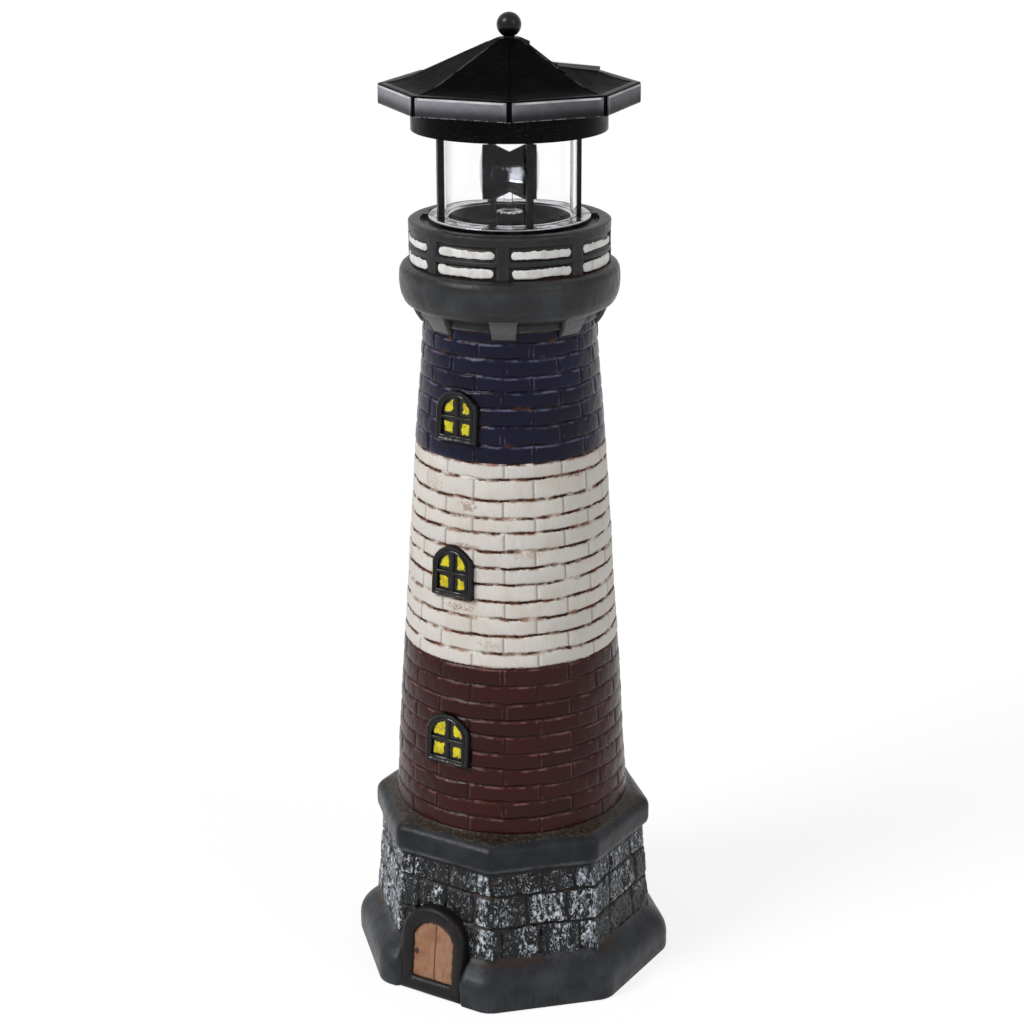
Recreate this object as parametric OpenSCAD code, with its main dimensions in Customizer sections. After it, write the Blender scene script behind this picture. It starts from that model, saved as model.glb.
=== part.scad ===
// Garden lighthouse ornament: a hollow tower with a plug-in solar lamp head and a turning reflector.
// Millimetres. The underside is at z = 0, the tower's axis is Z and the door faces -Y.
// An azimuth is counted from -Y towards +X, so the door is at azimuth 0.

/* [Plinth] */
// Across the flats of the skirt at its widest
skirt_across = 150.4; // [130:1:180]
// Height of the skirt, up to the crease of the stone wall
skirt_h = 22; // [16:1:28]
// Across the flats of the stone wall at its foot
wall_foot_across = 131; // [120:1:150]
// Across the flats of the stone wall at its top
wall_top_across = 124; // [112:1:140]
// Height of the stone wall, up to the ledge
wall_h = 47.5; // [36:0.5:60]
// Courses of stone in the wall
stone_courses = 3; // [2:1:4]
// Across the flats of the ledge
ledge_across = 130.6; // [120:1:150]
// Height of the ledge's upright face, with both its rounded edges
ledge_h = 14.5; // [10:0.5:20]
// Rise of the ledge's top from its rounded edge to the tower's foot
ledge_rise = 3; // [1:0.5:6]
// How far the plinth's eight corners are rounded off
corner_cut = 2.2; // [1:0.1:3]
// Width of the joints between courses
joint_w = 0.9; // [0.5:0.1:1.5]
// Depth of the joints between courses
joint_depth = 0.5; // [0.2:0.1:0.8]

/* [Tower] */
// Diameter of the brick tower at its foot
tower_foot_d = 115.6; // [100:1:124]
// Diameter of the brick tower at its top
tower_top_d = 82.6; // [80:0.5:90]
// Height of the lowest, maroon band
red_h = 83.5; // [60:1:110]
// Courses of brick in the maroon band
red_courses = 10; // [6:1:14]
// Height of the middle, white band
white_h = 99.5; // [70:1:130]
// Courses of brick in the white band
white_courses = 12; // [8:1:16]
// Height of the top, navy band
blue_h = 61; // [45:1:80]
// Courses of brick in the navy band
blue_courses = 7; // [5:1:10]
// Wall of the blow-moulded shell
shell_wall = 2.4; // [1.8:0.1:3]
// Bottom wall of the shell
floor_wall = 3; // [2:0.1:5]

/* [Windows and door] */
// Width of a window's frame
window_w = 24; // [18:0.5:28]
// Height of a window's frame
window_h = 26; // [20:0.5:32]
// Width of the frame's bars
window_bar = 3; // [2:0.1:4]
// How far a frame stands out of the brick
window_proud = 1.6; // [0.8:0.1:2.5]
// Azimuth of the windows
window_azimuth = -2; // [-10:1:10]
// Height of the top window's middle above the floor
window_top_z = 290.5; // [280:1:300]
// Height of the middle window's middle above the floor
window_mid_z = 215.5; // [205:1:225]
// Height of the bottom window's middle above the floor
window_low_z = 131.5; // [124:1:140]
// Width of the door's surround
door_w = 40; // [32:1:44]
// Height of the door's surround above the floor
door_h = 52; // [44:1:58]
// Width of the door leaf
door_leaf_w = 22; // [16:0.5:26]
// Height of the door leaf
door_leaf_h = 31; // [24:1:36]
// Height of the door's sill above the floor
door_sill_h = 13; // [8:1:16]
// How far the surround's face lies behind the skirt's flats
door_inset = 0.3; // [0.1:0.1:1]
// How far the leaf lies behind the surround's face
door_leaf_depth = 3; // [1:0.2:4]

/* [Gallery] */
// Height of the grey band between the brackets
neck_h = 7.5; // [5:0.5:10]
// Diameter of the grey band
neck_d = 84.8; // [83:0.2:95]
// Largest diameter of the round bulge
bulge_d = 104.4; // [100:0.2:116]
// Height of the bulge
bulge_h = 18.5; // [14:0.5:24]
// Diameter of the railing
rail_d = 95; // [94:0.5:104]
// Height of the railing, from the bulge to the rim
rail_h = 20.2; // [16:0.2:26]
// Depth of the panels between the balusters
panel_depth = 1.4; // [0.6:0.1:1.8]
// Height of the panels
panel_h = 15; // [10:0.5:16]
// Width of a baluster
baluster_w = 7; // [4:0.5:9]
// Height of the middle rail
mid_rail_h = 2.6; // [1.5:0.1:4]
// Balusters, and brackets under them
baluster_count = 8; // [6:1:10]
// Azimuth of the first baluster
baluster_azimuth = 27.5; // [0:0.5:45]
// Width of a bracket
bracket_w = 12.5; // [8:0.5:16]
// How far a bracket stands out of the grey band at its top
bracket_out = 4; // [2:0.5:5]

/* [Lamp head] */
// Turn of the lamp head on the tower
head_turn = 31.5; // [0:0.5:360]
// Corner to corner of the roof
roof_across = 121.2; // [112:0.4:134]
// Height of the roof's upright edge
fascia_h = 9; // [6:0.5:12]
// Rise from the edge to where the straight slope would meet the axis
roof_rise = 23; // [18:0.5:28]
// Slope of the upper roof, in degrees
roof_slope = 25.4; // [20:0.2:28]
// Wall of the roof moulding
roof_wall = 2; // [1.4:0.1:2.4]
// Diameter of the ball on top
ball_d = 11.4; // [9:0.2:14]
// Diameter of the stem that the ball is pressed in with
ball_stem_d = 5; // [3:0.2:6]
// Diameter of the skirt ring
cup_d = 91.4; // [84:0.4:98]
// Height of the skirt ring below the roof
cup_drop = 11.6; // [8:0.2:16]
// Wall of the skirt ring
cup_wall = 2; // [1.4:0.1:3]
// Outer diameter of the clear cylinder
tube_d = 62.8; // [56:0.4:65]
// Wall of the clear cylinder
tube_wall = 1.5; // [1:0.1:2.5]
// Height of the lamp room, from the ring to the skirt ring
room_h = 42.3; // [38:0.3:52]
// Width and depth of a post
post_w = 3; // [2.4:0.1:3.6]
// Azimuth of the front post, counted from the front corner of the roof
post_azimuth = 15.8; // [0:0.2:44]
// Diameter of the black ring in the gallery's mouth
ring_d = 82.4; // [81:0.2:86]
// Thickness of the black ring
ring_t = 2.8; // [2:0.1:4]

/* [Solar panel] */
// Width of the panel
panel_w = 56; // [44:1:58]
// Length of the panel down the slope
panel_l = 28.6; // [22:0.2:32]
// Thickness of the panel
panel_t = 2.2; // [1.6:0.1:3]
// Tilt of the panel, in degrees
panel_tilt = 9; // [8:0.5:14]
// Azimuth of the panel, counted from the front corner of the roof
panel_azimuth = 135; // [90:5:180]

/* [Floor and reflector] */
// Diameter of the chrome floor
floor_d = 76; // [70:0.4:80]
// Thickness of the chrome floor's rim
floor_t = 2.4; // [1.6:0.1:3]
// How far the bowl's mouth lies inside the clear cylinder
bowl_inset = 1.4; // [0.8:0.1:4]
// Depth of the bowl
bowl_depth = 8; // [5:0.5:9]
// Sheet of the bowl
bowl_wall = 1.2; // [1:0.1:1.6]
// Diameter of the bush
hub_d = 12; // [10:0.2:14]
// How far the bush stands above the ring
hub_rise = 3.7; // [2:0.1:6]
// Diameter of the clear spindle
spindle_d = 5.8; // [5:0.1:7]
// Largest diameter of the reflector
dish_d = 25.4; // [22:0.2:28]
// Diameter of the reflector where its halves meet
waist_d = 18.8; // [16:0.2:22]
// Length of a half from the waist to its rim
dish_l = 12; // [10:0.2:14]
// How far the clear caps bulge out
lens_rise = 2; // [1:0.1:3]
// Thickness of the dishes and caps
dish_wall = 1; // [0.8:0.1:1.4]
// Height of the reflector's middle above the ring
reflector_up = 21.9; // [20:0.1:25]

/* [Gear train] */
// Module of the teeth
tooth_module = 0.8; // [0.7:0.05:0.85]
// Teeth of the gear on the spindle
drive_teeth = 28; // [24:1:30]
// Teeth of the idler's small step
small_teeth = 9; // [9:1:11]
// Teeth of the idler's large step
large_teeth = 24; // [20:1:26]
// Teeth of the motor's pinion
pinion_teeth = 8; // [8:1:10]
// Width of a gear's rim
gear_t = 2.4; // [1.8:0.1:3]
// Play between the teeth
backlash = 0.16; // [0.1:0.02:0.24]

/* [Housing] */
// Diameter of the housing under the floor
housing_d = 76; // [72:0.4:77]
// Depth of the housing below the ring
housing_h = 35.5; // [33:0.5:40]
// Wall of the housing
housing_wall = 1.8; // [1.4:0.1:2.4]
// Diameter of the rechargeable cell
cell_d = 14.2; // [10:0.1:14.6]
// Length of the rechargeable cell
cell_l = 50; // [44:0.5:50.5]
// Diameter of the motor
motor_d = 14; // [10:0.5:15]
// Length of the motor
motor_l = 11; // [8:0.5:13]
// Travel of the switch
switch_travel = 2.5; // [1.5:0.1:3]

/* [Clearances] */
// Radial clearance of the lamp head in the gallery
plug_clear = 0.4; // [0.3:0.05:0.8]
// Radial clearance of a turning fit
run_clear = 0.06; // [0.03:0.01:0.1]
// Clearance round fixed pieces that sit in a seat
seat_clear = 0.2; // [0.1:0.05:0.4]
// Clearance round the battery door and the switch knob
door_clear = 0.4; // [0.3:0.05:0.6]

/* [Hidden] */
$fn = 96;
e = 0.01;
oct_cos = cos(22.5);

// Colours, as in the photo
black = [0.07, 0.07, 0.075];
slate = [0.24, 0.25, 0.27];
chrome = [0.82, 0.83, 0.85];
clear = [0.85, 0.9, 0.95, 0.4];

// Heights of the tower's stretches
wall_z = skirt_h;
ledge_z = wall_z + wall_h;
ledge_top_z = ledge_z + ledge_h;
tower_z = ledge_top_z + ledge_rise;
white_z = tower_z + red_h;
blue_z = white_z + white_h;
neck_z = blue_z + blue_h;
bulge_z = neck_z + neck_h;
rail_z = bulge_z + bulge_h;
rim_z = rail_z + rail_h;

// Heights of the lamp head
ring_z = rim_z - 1;
cup_z = ring_z + room_h;
eave_z = cup_z + cup_drop;
edge_z = eave_z + fascia_h;
peak_z = edge_z + roof_rise;
ball_z = peak_z + 3.3;
reflector_z = ring_z + reflector_up;
floor_z = ring_z + floor_t;
bowl_z = floor_z - bowl_depth;
housing_z = ring_z - housing_h;
housing_floor_z = housing_z + housing_wall;

// Gap between faces that meet, and the heads that all the larger screws share
touch = 0.05;
screw_head_r = 2.1;
screw_head_h = 1.2;

// Radii that several pieces share
ring_r = ring_d / 2;
tube_r = tube_d / 2;
housing_r = housing_d / 2;
spindle_r = spindle_d / 2;
post_r = tube_r + seat_clear + post_w / 2;
bowl_d = tube_d - 2 * tube_wall - 2 * bowl_inset;
base_hole_r = post_r - post_w / 2 - 1.4;
neck_bore_r = housing_r + plug_clear;
mouth_r = ring_r + plug_clear;

// Gear train: the large step of the idler meshes above, the small step meshes with the drive gear
drive_r = drive_teeth * tooth_module / 2;
small_r = small_teeth * tooth_module / 2;
large_r = large_teeth * tooth_module / 2;
pinion_r = pinion_teeth * tooth_module / 2;
idler_x = -(drive_r + small_r);
motor_y = large_r + pinion_r;
gear_plate_t = 1.6;
gear_plate_z = bowl_z - 11.3;
gear_plate_top = gear_plate_z + gear_plate_t;
drive_z = gear_plate_top + 1.2;
large_z = drive_z + gear_t + 1;
idler_z = gear_plate_top + 0.2;
pin_r = 1;
shaft_r = 0.75;
gear_hub_r = spindle_r + 1.6;

// The two leads run down beside the rear post, and the red one lands on the board near its edge
lead_r = 0.6;
lead_turn = 1.8;
lead_circle = tube_r - tube_wall - 1.8;
lead_landing = 7.3;

// Cell, board and switch in the housing
cell_y = -(cell_d / 2 + 7);
cell_z = housing_floor_z + cell_d / 2 + 0.5;
contact_gap = 2;
bay_l = cell_l + 2 * contact_gap;
board_t = 1.4;
board_z = housing_floor_z + 4.6;
board_x = 9;
board_y = lead_circle * cos(post_azimuth + lead_turn) - lead_landing;
board_w = 24;
board_l = 17;
board_hole_x = 9.6;
board_hole_y = 2.5;
switch_x = 12;
switch_y = board_y - 6;
door_l = bay_l - 1.2;
door_wide = cell_d + 2;
door_t = 1.6;
hinge_x = -bay_l / 2 - 1.6;
hinge_z = housing_z + door_t / 2;
hinge_r = 1;
lead_z = board_z + board_t + lead_r + seat_clear;

// Turns children from the front to an azimuth
module at(azimuth) {
    rotate([0, 0, azimuth]) children();
}

// The lamp head's own frame: its roof has a corner at the front
module head() {
    at(head_turn) children();
}

// A regular prism of eight faces whose half width at each height follows a half profile [half width, z]
module eight_sided(profile, span) {
    mirrored = [for (i = [len(profile) - 1 : -1 : 0]) [-profile[i][0], profile[i][1]]];
    intersection_for(turn = [0 : 45 : 135]) {
        at(turn)
            rotate([90, 0, 0])
                linear_extrude(span, center = true)
                    polygon(concat(profile, mirrored));
    }
}

// Points of a quarter arc about [x, z] from one angle to another
function arc(x, z, rx, rz, from, to, steps = 8) =
    [for (i = [0 : steps]) let (a = from + (to - from) * i / steps) [x + rx * cos(a), z + rz * sin(a)]];

// ---------------------------------------------------------------- tower

function tower_r(z) = (tower_foot_d + (tower_top_d - tower_foot_d) * (z - tower_z) / (neck_z - tower_z)) / 2;
function wall_half(z) = (wall_foot_across + (wall_top_across - wall_foot_across) * (z - wall_z) / wall_h) / 2;

// Points of the joint above each course of stone but the last
function stone_profile() = [
    for (i = [1 : stone_courses - 1])
        let (z = wall_z + wall_h * i / stone_courses)
            each [
                [wall_half(z - joint_w / 2), z - joint_w / 2],
                [wall_half(z) - joint_depth, z - joint_w / 2 + joint_depth / 2],
                [wall_half(z) - joint_depth, z + joint_w / 2 - joint_depth / 2],
                [wall_half(z + joint_w / 2), z + joint_w / 2]
            ]
];

// Half profile of the plinth across its flats
skirt_round = 9;
ledge_foot_round = 3.5;
ledge_top_round = 5.5;
plinth_profile = concat(
    [[skirt_across / 2 - 1.6, 0], [skirt_across / 2, 3]],
    arc(skirt_across / 2 - skirt_round, skirt_round, skirt_round, skirt_round, 0, 62, 4),
    [[wall_half(wall_z) + 1.4, wall_z - 1.6], [wall_half(wall_z), wall_z]],
    stone_profile(),
    [[wall_half(ledge_z), ledge_z]],
    arc(ledge_across / 2 - ledge_foot_round, ledge_z + ledge_foot_round, ledge_foot_round,
        ledge_foot_round, -90, 0, 3),
    arc(ledge_across / 2 - ledge_top_round, ledge_top_z - ledge_top_round, ledge_top_round,
        ledge_top_round, 0, 75, 4),
    [[tower_r(tower_z) - 0.8, tower_z - 0.4]]
);

// The plinth, with its eight corners cut back
module plinth_solid() {
    intersection() {
        eight_sided(plinth_profile, skirt_across * 1.3);
        at(22.5)
            eight_sided([for (p = plinth_profile) [p[0] / oct_cos - corner_cut, p[1]]], skirt_across * 1.3);
    }
}

// One band of brick: a cone with a joint at the foot of each course but the first
function joint_profile(z) = [
    [tower_r(z) - joint_depth, z - joint_w / 2 + joint_depth / 2],
    [tower_r(z) - joint_depth, z + joint_w / 2 - joint_depth / 2],
    [tower_r(z + joint_w / 2), z + joint_w / 2]
];
function band_profile(z0, h, courses) = [
    for (i = [0 : courses - 1])
        let (z = z0 + h * i / courses, top = z + h / courses)
            each concat(z == tower_z ? [[tower_r(z), z]] : joint_profile(z),
                        [[tower_r(top - joint_w / 2), top - joint_w / 2]])
];

function bulge_profile(shrink = 0) = concat(
    arc(bulge_d / 2 - 7 - shrink, bulge_z + bulge_h * 0.58, 7, bulge_h * 0.58, -80, 0, 8),
    arc(bulge_d / 2 - 7 - shrink, bulge_z + bulge_h * 0.58, 7, bulge_h * 0.42, 10, 80, 7)
);

module tower_outside() {
    rotate_extrude()
        polygon(concat(
            [[0, tower_z - 8], [tower_r(tower_z), tower_z - 8]],
            band_profile(tower_z, red_h, red_courses),
            band_profile(white_z, white_h, white_courses),
            band_profile(blue_z, blue_h, blue_courses),
            [[neck_d / 2 - 0.6, neck_z], [neck_d / 2, neck_z + 0.6], [neck_d / 2, bulge_z + 0.4]],
            bulge_profile(),
            [[rail_d / 2, rail_z], [rail_d / 2, rim_z - 1], [rail_d / 2 - 1, rim_z], [0, rim_z]]
        ));
}

module tower_inside() {
    step_z = ring_z - ring_t;
    lip_z = step_z - 7;
    inner_rail = rail_d / 2 - panel_depth - shell_wall;
    rotate_extrude()
        polygon(concat(
            [[0, ledge_z - 12], [tower_r(tower_z) - shell_wall - 6, ledge_z - 12]],
            [[tower_r(tower_z) - shell_wall - 0.6, tower_z]],
            [[tower_r(neck_z) - shell_wall - 0.6, neck_z]],
            [[neck_d / 2 - shell_wall, neck_z + 2], [neck_d / 2 - shell_wall, bulge_z + 0.5]],
            bulge_profile(shell_wall),
            [[inner_rail, rail_z], [inner_rail, lip_z - 3], [neck_bore_r, lip_z]],
            [[neck_bore_r, step_z], [mouth_r, step_z], [mouth_r, rim_z + 1], [0, rim_z + 1]]
        ));
}

// The cavity behind the skirt, the stone wall and the ledge
module plinth_inside() {
    skirt_in = skirt_across / 2 - shell_wall - 1;
    eight_sided([
        [skirt_in, floor_wall], [skirt_in, skirt_h * 0.45],
        [wall_half(wall_z) - shell_wall, wall_z], [wall_half(ledge_z) - shell_wall, ledge_z + 2],
        [tower_r(tower_z) - shell_wall - 3, ledge_top_z - 4]
    ], skirt_across * 1.3);
}

// Outline with upright sides and a round top that rises by a third of the width
function arch_outline(w, h) =
    let (rise = w * 0.34, big_r = (w * w / 4 + rise * rise) / (2 * rise), half = asin(w / 2 / big_r))
        concat([[-w / 2, 0], [w / 2, 0]], arc(0, h - big_r, big_r, big_r, 90 - half, 90 + half, 10));

// An upright panel of that outline, standing in the XZ plane and thick along Y
module arch(w, h, y0, y1) {
    translate([0, y1, 0])
        rotate([90, 0, 0])
            linear_extrude(y1 - y0)
                polygon(arch_outline(w, h));
}

// A window: frame and cross bars stand out, the four panes lie back between them
module window(z) {
    foot_r = tower_r(z - window_h / 2);
    face = foot_r + window_proud;
    pane = foot_r + window_proud - 1.4;
    lean = atan((tower_foot_d - tower_top_d) / 2 / (neck_z - tower_z));
    at(window_azimuth)
        translate([0, 0, z - window_h / 2])
            translate([0, -foot_r, 0])
                rotate([-lean, 0, 0])
                    translate([0, foot_r, 0])
                        difference() {
                            arch(window_w, window_h, -face, -foot_r + 4);
                            difference() {
                                translate([0, 0, window_bar])
                                    arch(window_w - 2 * window_bar, window_h - 2 * window_bar,
                                         -face - 1, -pane);
                                translate([-0.8, -face, 0])
                                    cube([1.6, 4, window_h]);
                                translate([-window_w / 2, -face, window_h * 0.46])
                                    cube([window_w, 4, 1.6]);
                            }
                        }
}

// The door: a round-topped surround with the leaf set back in it
module door_solid() {
    arch(door_w, door_h, door_inset - skirt_across / 2, -wall_top_across / 2 + shell_wall);
}

module door_recess() {
    face = skirt_across / 2 - door_inset;
    leaf = face - door_leaf_depth;
    difference() {
        translate([0, 0, door_sill_h])
            arch(door_leaf_w, door_leaf_h, -face - 1, -leaf);
        translate([-0.25, -leaf - 0.3, 0])
            cube([0.5, 1, door_h]);
    }
}

// The railing's panels, cut back between the balusters and above and below the middle rail
module gallery_panels() {
    panel_z = rail_z + 0.6;
    part_h = (panel_h - mid_rail_h) / 2;
    step = 360 / baluster_count;
    half = asin((baluster_w / 2) / (rail_d / 2));
    for (i = [0 : baluster_count - 1], low = [0, part_h + mid_rail_h]) {
        at(baluster_azimuth + i * step - 90)
            rotate([0, 0, half])
                rotate_extrude(angle = step - 2 * half)
                    translate([rail_d / 2 - panel_depth, panel_z + low])
                        square([panel_depth + 2, part_h]);
    }
}

module brackets() {
    foot = neck_z - 2.5;
    for (i = [0 : baluster_count - 1]) {
        at(baluster_azimuth + i * 360 / baluster_count)
            rotate([90, 0, 90])
                linear_extrude(bracket_w, center = true)
                    polygon([
                        [-neck_d / 2 + 4, foot], [-tower_r(foot) - 0.9, foot],
                        [-neck_d / 2 - bracket_out * 0.55, neck_z + 3],
                        [-neck_d / 2 - bracket_out, bulge_z - 1],
                        [-neck_d / 2 - bracket_out, bulge_z + 3], [-neck_d / 2 + 4, bulge_z + 3]]);
    }
}

module tower_shell() {
    color(slate)
        difference() {
            union() {
                plinth_solid();
                tower_outside();
                brackets();
                door_solid();
                for (z = [window_top_z, window_mid_z, window_low_z])
                    window(z);
            }
            plinth_inside();
            tower_inside();
            door_recess();
            gallery_panels();
            // drain hole
            translate([0, 0, -1])
                cylinder(h = floor_wall + 2, r = 3);
        }
}

// ---------------------------------------------------------------- roof

eave_half = roof_across / 2 * oct_cos;

// Half profile of the roof across its flats: a straight slope that eases out to the edge
function roof_z(r, peak, edge_r) =
    let (t = tan(roof_slope), bend = min(edge_r * 0.9, (peak - edge_z) * 0.86 / t), run = edge_r - bend,
         drop = peak - edge_z - bend * t, u = (r - bend) / run)
    r <= bend ? peak - r * t
              : peak - bend * t - (t * run * (u - u * u * 0.5) + (drop - t * run * 0.5) * u * u);

function roof_profile(edge_r, peak, foot) = concat(
    [[edge_r, foot]],
    [for (i = [8 : -1 : 0]) let (r = edge_r * (0.55 + 0.45 * i / 8)) [r, roof_z(r, peak, edge_r)]],
    [[0.01, peak]]
);

// The solar seat starts just behind the axis, and stops short of the round boss under the ball
seat_back = 1.8;
seat_top_z = edge_z + 9.4;
seat_rim = 1.6;
seat_floor_t = 1.8;
// Lip that holds the panel's lower end; the roof is flat from there until it runs out into the slope
seat_lip = 0.9;
seat_reach = roof_across * 0.4;
ball_boss_r = 9.5;

// Places children in the solar seat: x across, y down the slope, z up out of the seat
module in_seat() {
    at(panel_azimuth)
        translate([0, -seat_back, seat_top_z])
            rotate([panel_tilt, 0, 0])
                children();
}

seat_w = panel_w + 1.4;
seat_l = panel_l + 1.4;

// A prism of the roof's eight faces, with a corner at the front
module roof_sided(profile) {
    at(22.5)
        eight_sided(profile, roof_across * 1.2);
}

module roof_body() {
    inside = eave_half - roof_wall;
    difference() {
        roof_sided(roof_profile(eave_half, peak_z, eave_z));
        translate([0, 0, -roof_wall])
            roof_sided(roof_profile(inside, peak_z - 0.6, eave_z - 1));
        translate([0, 0, eave_z - 2])
            roof_sided([[inside, 0], [inside, fascia_h]]);
    }
}

// Four bosses that the screws of the cup bite into
boss_r = 2.8;
boss_circle = cup_d / 2 - cup_wall - 1.4 - boss_r;
cup_boss_h = 2.3;
boss_foot_z = cup_z + cup_wall + cup_boss_h + seat_clear;
cup_screw_r = 1.05;
cup_screw_l = 9.4;
module roof_bosses() {
    for (i = [0 : 3])
        at(45 + i * 90)
            translate([0, -boss_circle, boss_foot_z])
                difference() {
                    cylinder(h = edge_z + 5 - boss_foot_z, r = boss_r);
                    translate([0, 0, -1])
                        cylinder(h = cup_screw_l, r = cup_screw_r + touch);
                }
}

module roof_cover() {
    color(black)
        head()
            difference() {
                union() {
                    roof_body();
                    // bosses, and the floor of the seat, kept under the roof's skin
                    intersection() {
                        union() {
                            roof_bosses();
                            in_seat()
                                translate([-seat_w / 2 - seat_rim, -seat_reach, -seat_floor_t])
                                    cube([seat_w + 2 * seat_rim, seat_reach + seat_rim, 12]);
                            // socket of the ball's stem
                            translate([0, 0, peak_z - 12])
                                cylinder(h = 12, r = ball_stem_d / 2 + 2.2);
                        }
                        translate([0, 0, -roof_wall / 2])
                            roof_sided(roof_profile(eave_half - roof_wall / 2, peak_z, cup_z));
                    }
                }
                // the seat, which stops short of the ball's boss
                difference() {
                    in_seat() {
                        translate([-seat_w / 2, -seat_l, 0])
                            cube([seat_w, seat_l, 30]);
                        translate([-seat_w / 2, -roof_across / 2, seat_lip])
                            cube([seat_w, roof_across / 2, 30]);
                    }
                    translate([0, 0, eave_z])
                        cylinder(h = 40, r = ball_boss_r);
                }
                // hole for the leads up to the panel
                lead_place(0)
                    translate([0, 0, cup_z + cup_drop])
                        cylinder(h = seat_top_z - cup_z - cup_drop, r = 2.6);
                // bore of the ball's stem
                translate([0, 0, peak_z - 10])
                    cylinder(h = 20, r = ball_stem_d / 2 + seat_clear / 2);
                // flat for the ball
                translate([0, 0, ball_z - ball_d / 2 - touch])
                    cylinder(h = 10, r = ball_d / 2);
                // flutes on the eight corners
                for (i = [0 : 7])
                    at(i * 45)
                        translate([0, -roof_across / 2 - 0.5, eave_z - 1])
                            cylinder(h = fascia_h + 4, r = 1.3);
            }
}

module finial_ball() {
    color(black)
        head() {
            translate([0, 0, ball_z])
                sphere(d = ball_d);
            translate([0, 0, peak_z - 9.6])
                cylinder(h = ball_z - peak_z + 9.6, d = ball_stem_d);
        }
}

module solar_panel() {
    color([0.05, 0.07, 0.2])
        head()
            difference() {
                in_seat()
                    translate([-panel_w / 2, -panel_l - 0.7, 0])
                        cube([panel_w, panel_l, panel_t]);
                translate([0, 0, eave_z])
                    cylinder(h = 40, r = ball_boss_r + seat_clear);
            }
}

// ---------------------------------------------------------------- lamp room

soffit_t = 1.6;
soffit_half = eave_half - roof_wall - seat_clear;

module ceiling_cup() {
    color(black)
        head()
            difference() {
                union() {
                    difference() {
                        translate([0, 0, cup_z])
                            cylinder(h = cup_drop - seat_clear, d = cup_d);
                        translate([0, 0, cup_z + cup_wall])
                            cylinder(h = cup_drop, r = cup_d / 2 - cup_wall);
                    }
                    // soffit that closes the roof from the skirt ring out to the edge
                    difference() {
                        translate([0, 0, cup_z + cup_drop + 0.8])
                            roof_sided([[soffit_half, 0], [soffit_half, soffit_t]]);
                        translate([0, 0, cup_z + cup_wall])
                            cylinder(h = cup_drop * 2, r = cup_d / 2 - cup_wall);
                    }
                    translate([0, 0, cup_z + cup_wall])
                        difference() {
                            cylinder(h = cup_drop + 0.8 - cup_wall + soffit_t, d = cup_d);
                            translate([0, 0, -1])
                                cylinder(h = cup_drop * 2, r = cup_d / 2 - cup_wall);
                        }
                    for (i = [0 : 3])
                        at(45 + i * 90)
                            translate([0, -boss_circle, cup_z])
                                cylinder(h = cup_wall + cup_boss_h, r = boss_r);
                }
                // groove for the clear cylinder
                translate([0, 0, cup_z - 1])
                    difference() {
                        cylinder(h = 2, r = tube_r + seat_clear);
                        translate([0, 0, -1])
                            cylinder(h = 4, r = tube_r - tube_wall - seat_clear);
                    }
                // sockets for the posts' pegs
                for (i = [0 : 3])
                    at(post_azimuth + i * 90)
                        translate([0, -post_r, cup_z - 1])
                            cylinder(h = cup_wall + 3, r = 1 + run_clear, $fn = 32);
                for (i = [0 : 3])
                    at(45 + i * 90)
                        translate([0, -boss_circle, cup_z - 1]) {
                            cylinder(h = 10, r = 1.6, $fn = 32);
                            cylinder(h = screw_head_h + 1.2, r = screw_head_r + seat_clear, $fn = 32);
                        }
                // hole for the leads
                for (side = [-1, 1])
                    lead_place(side)
                        translate([0, 0, cup_z - 1])
                            cylinder(h = cup_wall + 3, r = lead_r + seat_clear, $fn = 32);
            }
}

module roof_screws() {
    color("silver")
        head()
            for (i = [0 : 3])
                at(45 + i * 90)
                    translate([0, -boss_circle, cup_z + 0.2])
                        difference() {
                            union() {
                                cylinder(h = screw_head_h, r = screw_head_r, $fn = 32);
                                cylinder(h = cup_screw_l, r = cup_screw_r, $fn = 32);
                            }
                            for (turn = [0, 90])
                                rotate([0, 0, turn])
                                    translate([-1.4, -0.25, -1])
                                        cube([2.8, 0.5, 1.6]);
                        }
}

module lamp_tube() {
    color(clear)
        head()
            translate([0, 0, floor_z + seat_clear])
                difference() {
                    cylinder(h = cup_z + 0.8 - floor_z - seat_clear, r = tube_r);
                    translate([0, 0, -1])
                        cylinder(h = room_h + 4, r = tube_r - tube_wall);
                }
}

module lamp_base() {
    color(black)
        head()
            difference() {
                union() {
                    translate([0, 0, ring_z - ring_t])
                        cylinder(h = ring_t, r = ring_r);
                    for (i = [0 : 3])
                        at(post_azimuth + i * 90) {
                            translate([-post_w / 2, -post_r - post_w / 2, ring_z - ring_t])
                                cube([post_w, post_w, room_h + ring_t - touch]);
                            translate([0, -post_r, ring_z])
                                cylinder(h = room_h + 1.8, r = 1, $fn = 32);
                        }
                    // two small lugs that show at the sides
                    for (side = [-1, 1])
                        at(side * 97)
                            translate([-3, -ring_r + 0.2, ring_z - 1])
                                cube([6, 2.6, 3]);
                }
                translate([0, 0, ring_z - ring_t - 1])
                    cylinder(h = ring_t + 2, r = base_hole_r);
                // recess for the chrome floor
                translate([0, 0, ring_z - 0.9])
                    difference() {
                        cylinder(h = 2, r = floor_d / 2 + seat_clear);
                        for (i = [0 : 3])
                            at(post_azimuth + i * 90)
                                translate([-post_w / 2, -post_r - post_w / 2, -1])
                                    cube([post_w, post_w, 5]);
                    }
                for (i = [0 : 3])
                    at(i * 90)
                        translate([0, -screw_circle, ring_z - ring_t - 1])
                            cylinder(h = ring_t + 3, r = screw_r, $fn = 32);
                for (side = [-1, 1])
                    lead_place(side)
                        translate([0, 0, ring_z - ring_t - 1])
                            cylinder(h = ring_t + 3, r = lead_r + seat_clear, $fn = 32);
            }
}

// Screws that come up through the housing's pillars into the ring
screw_circle = housing_r - 4;
screw_r = 0.9;
screw_sink = 1;
pillar_r = 2.8;

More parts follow.
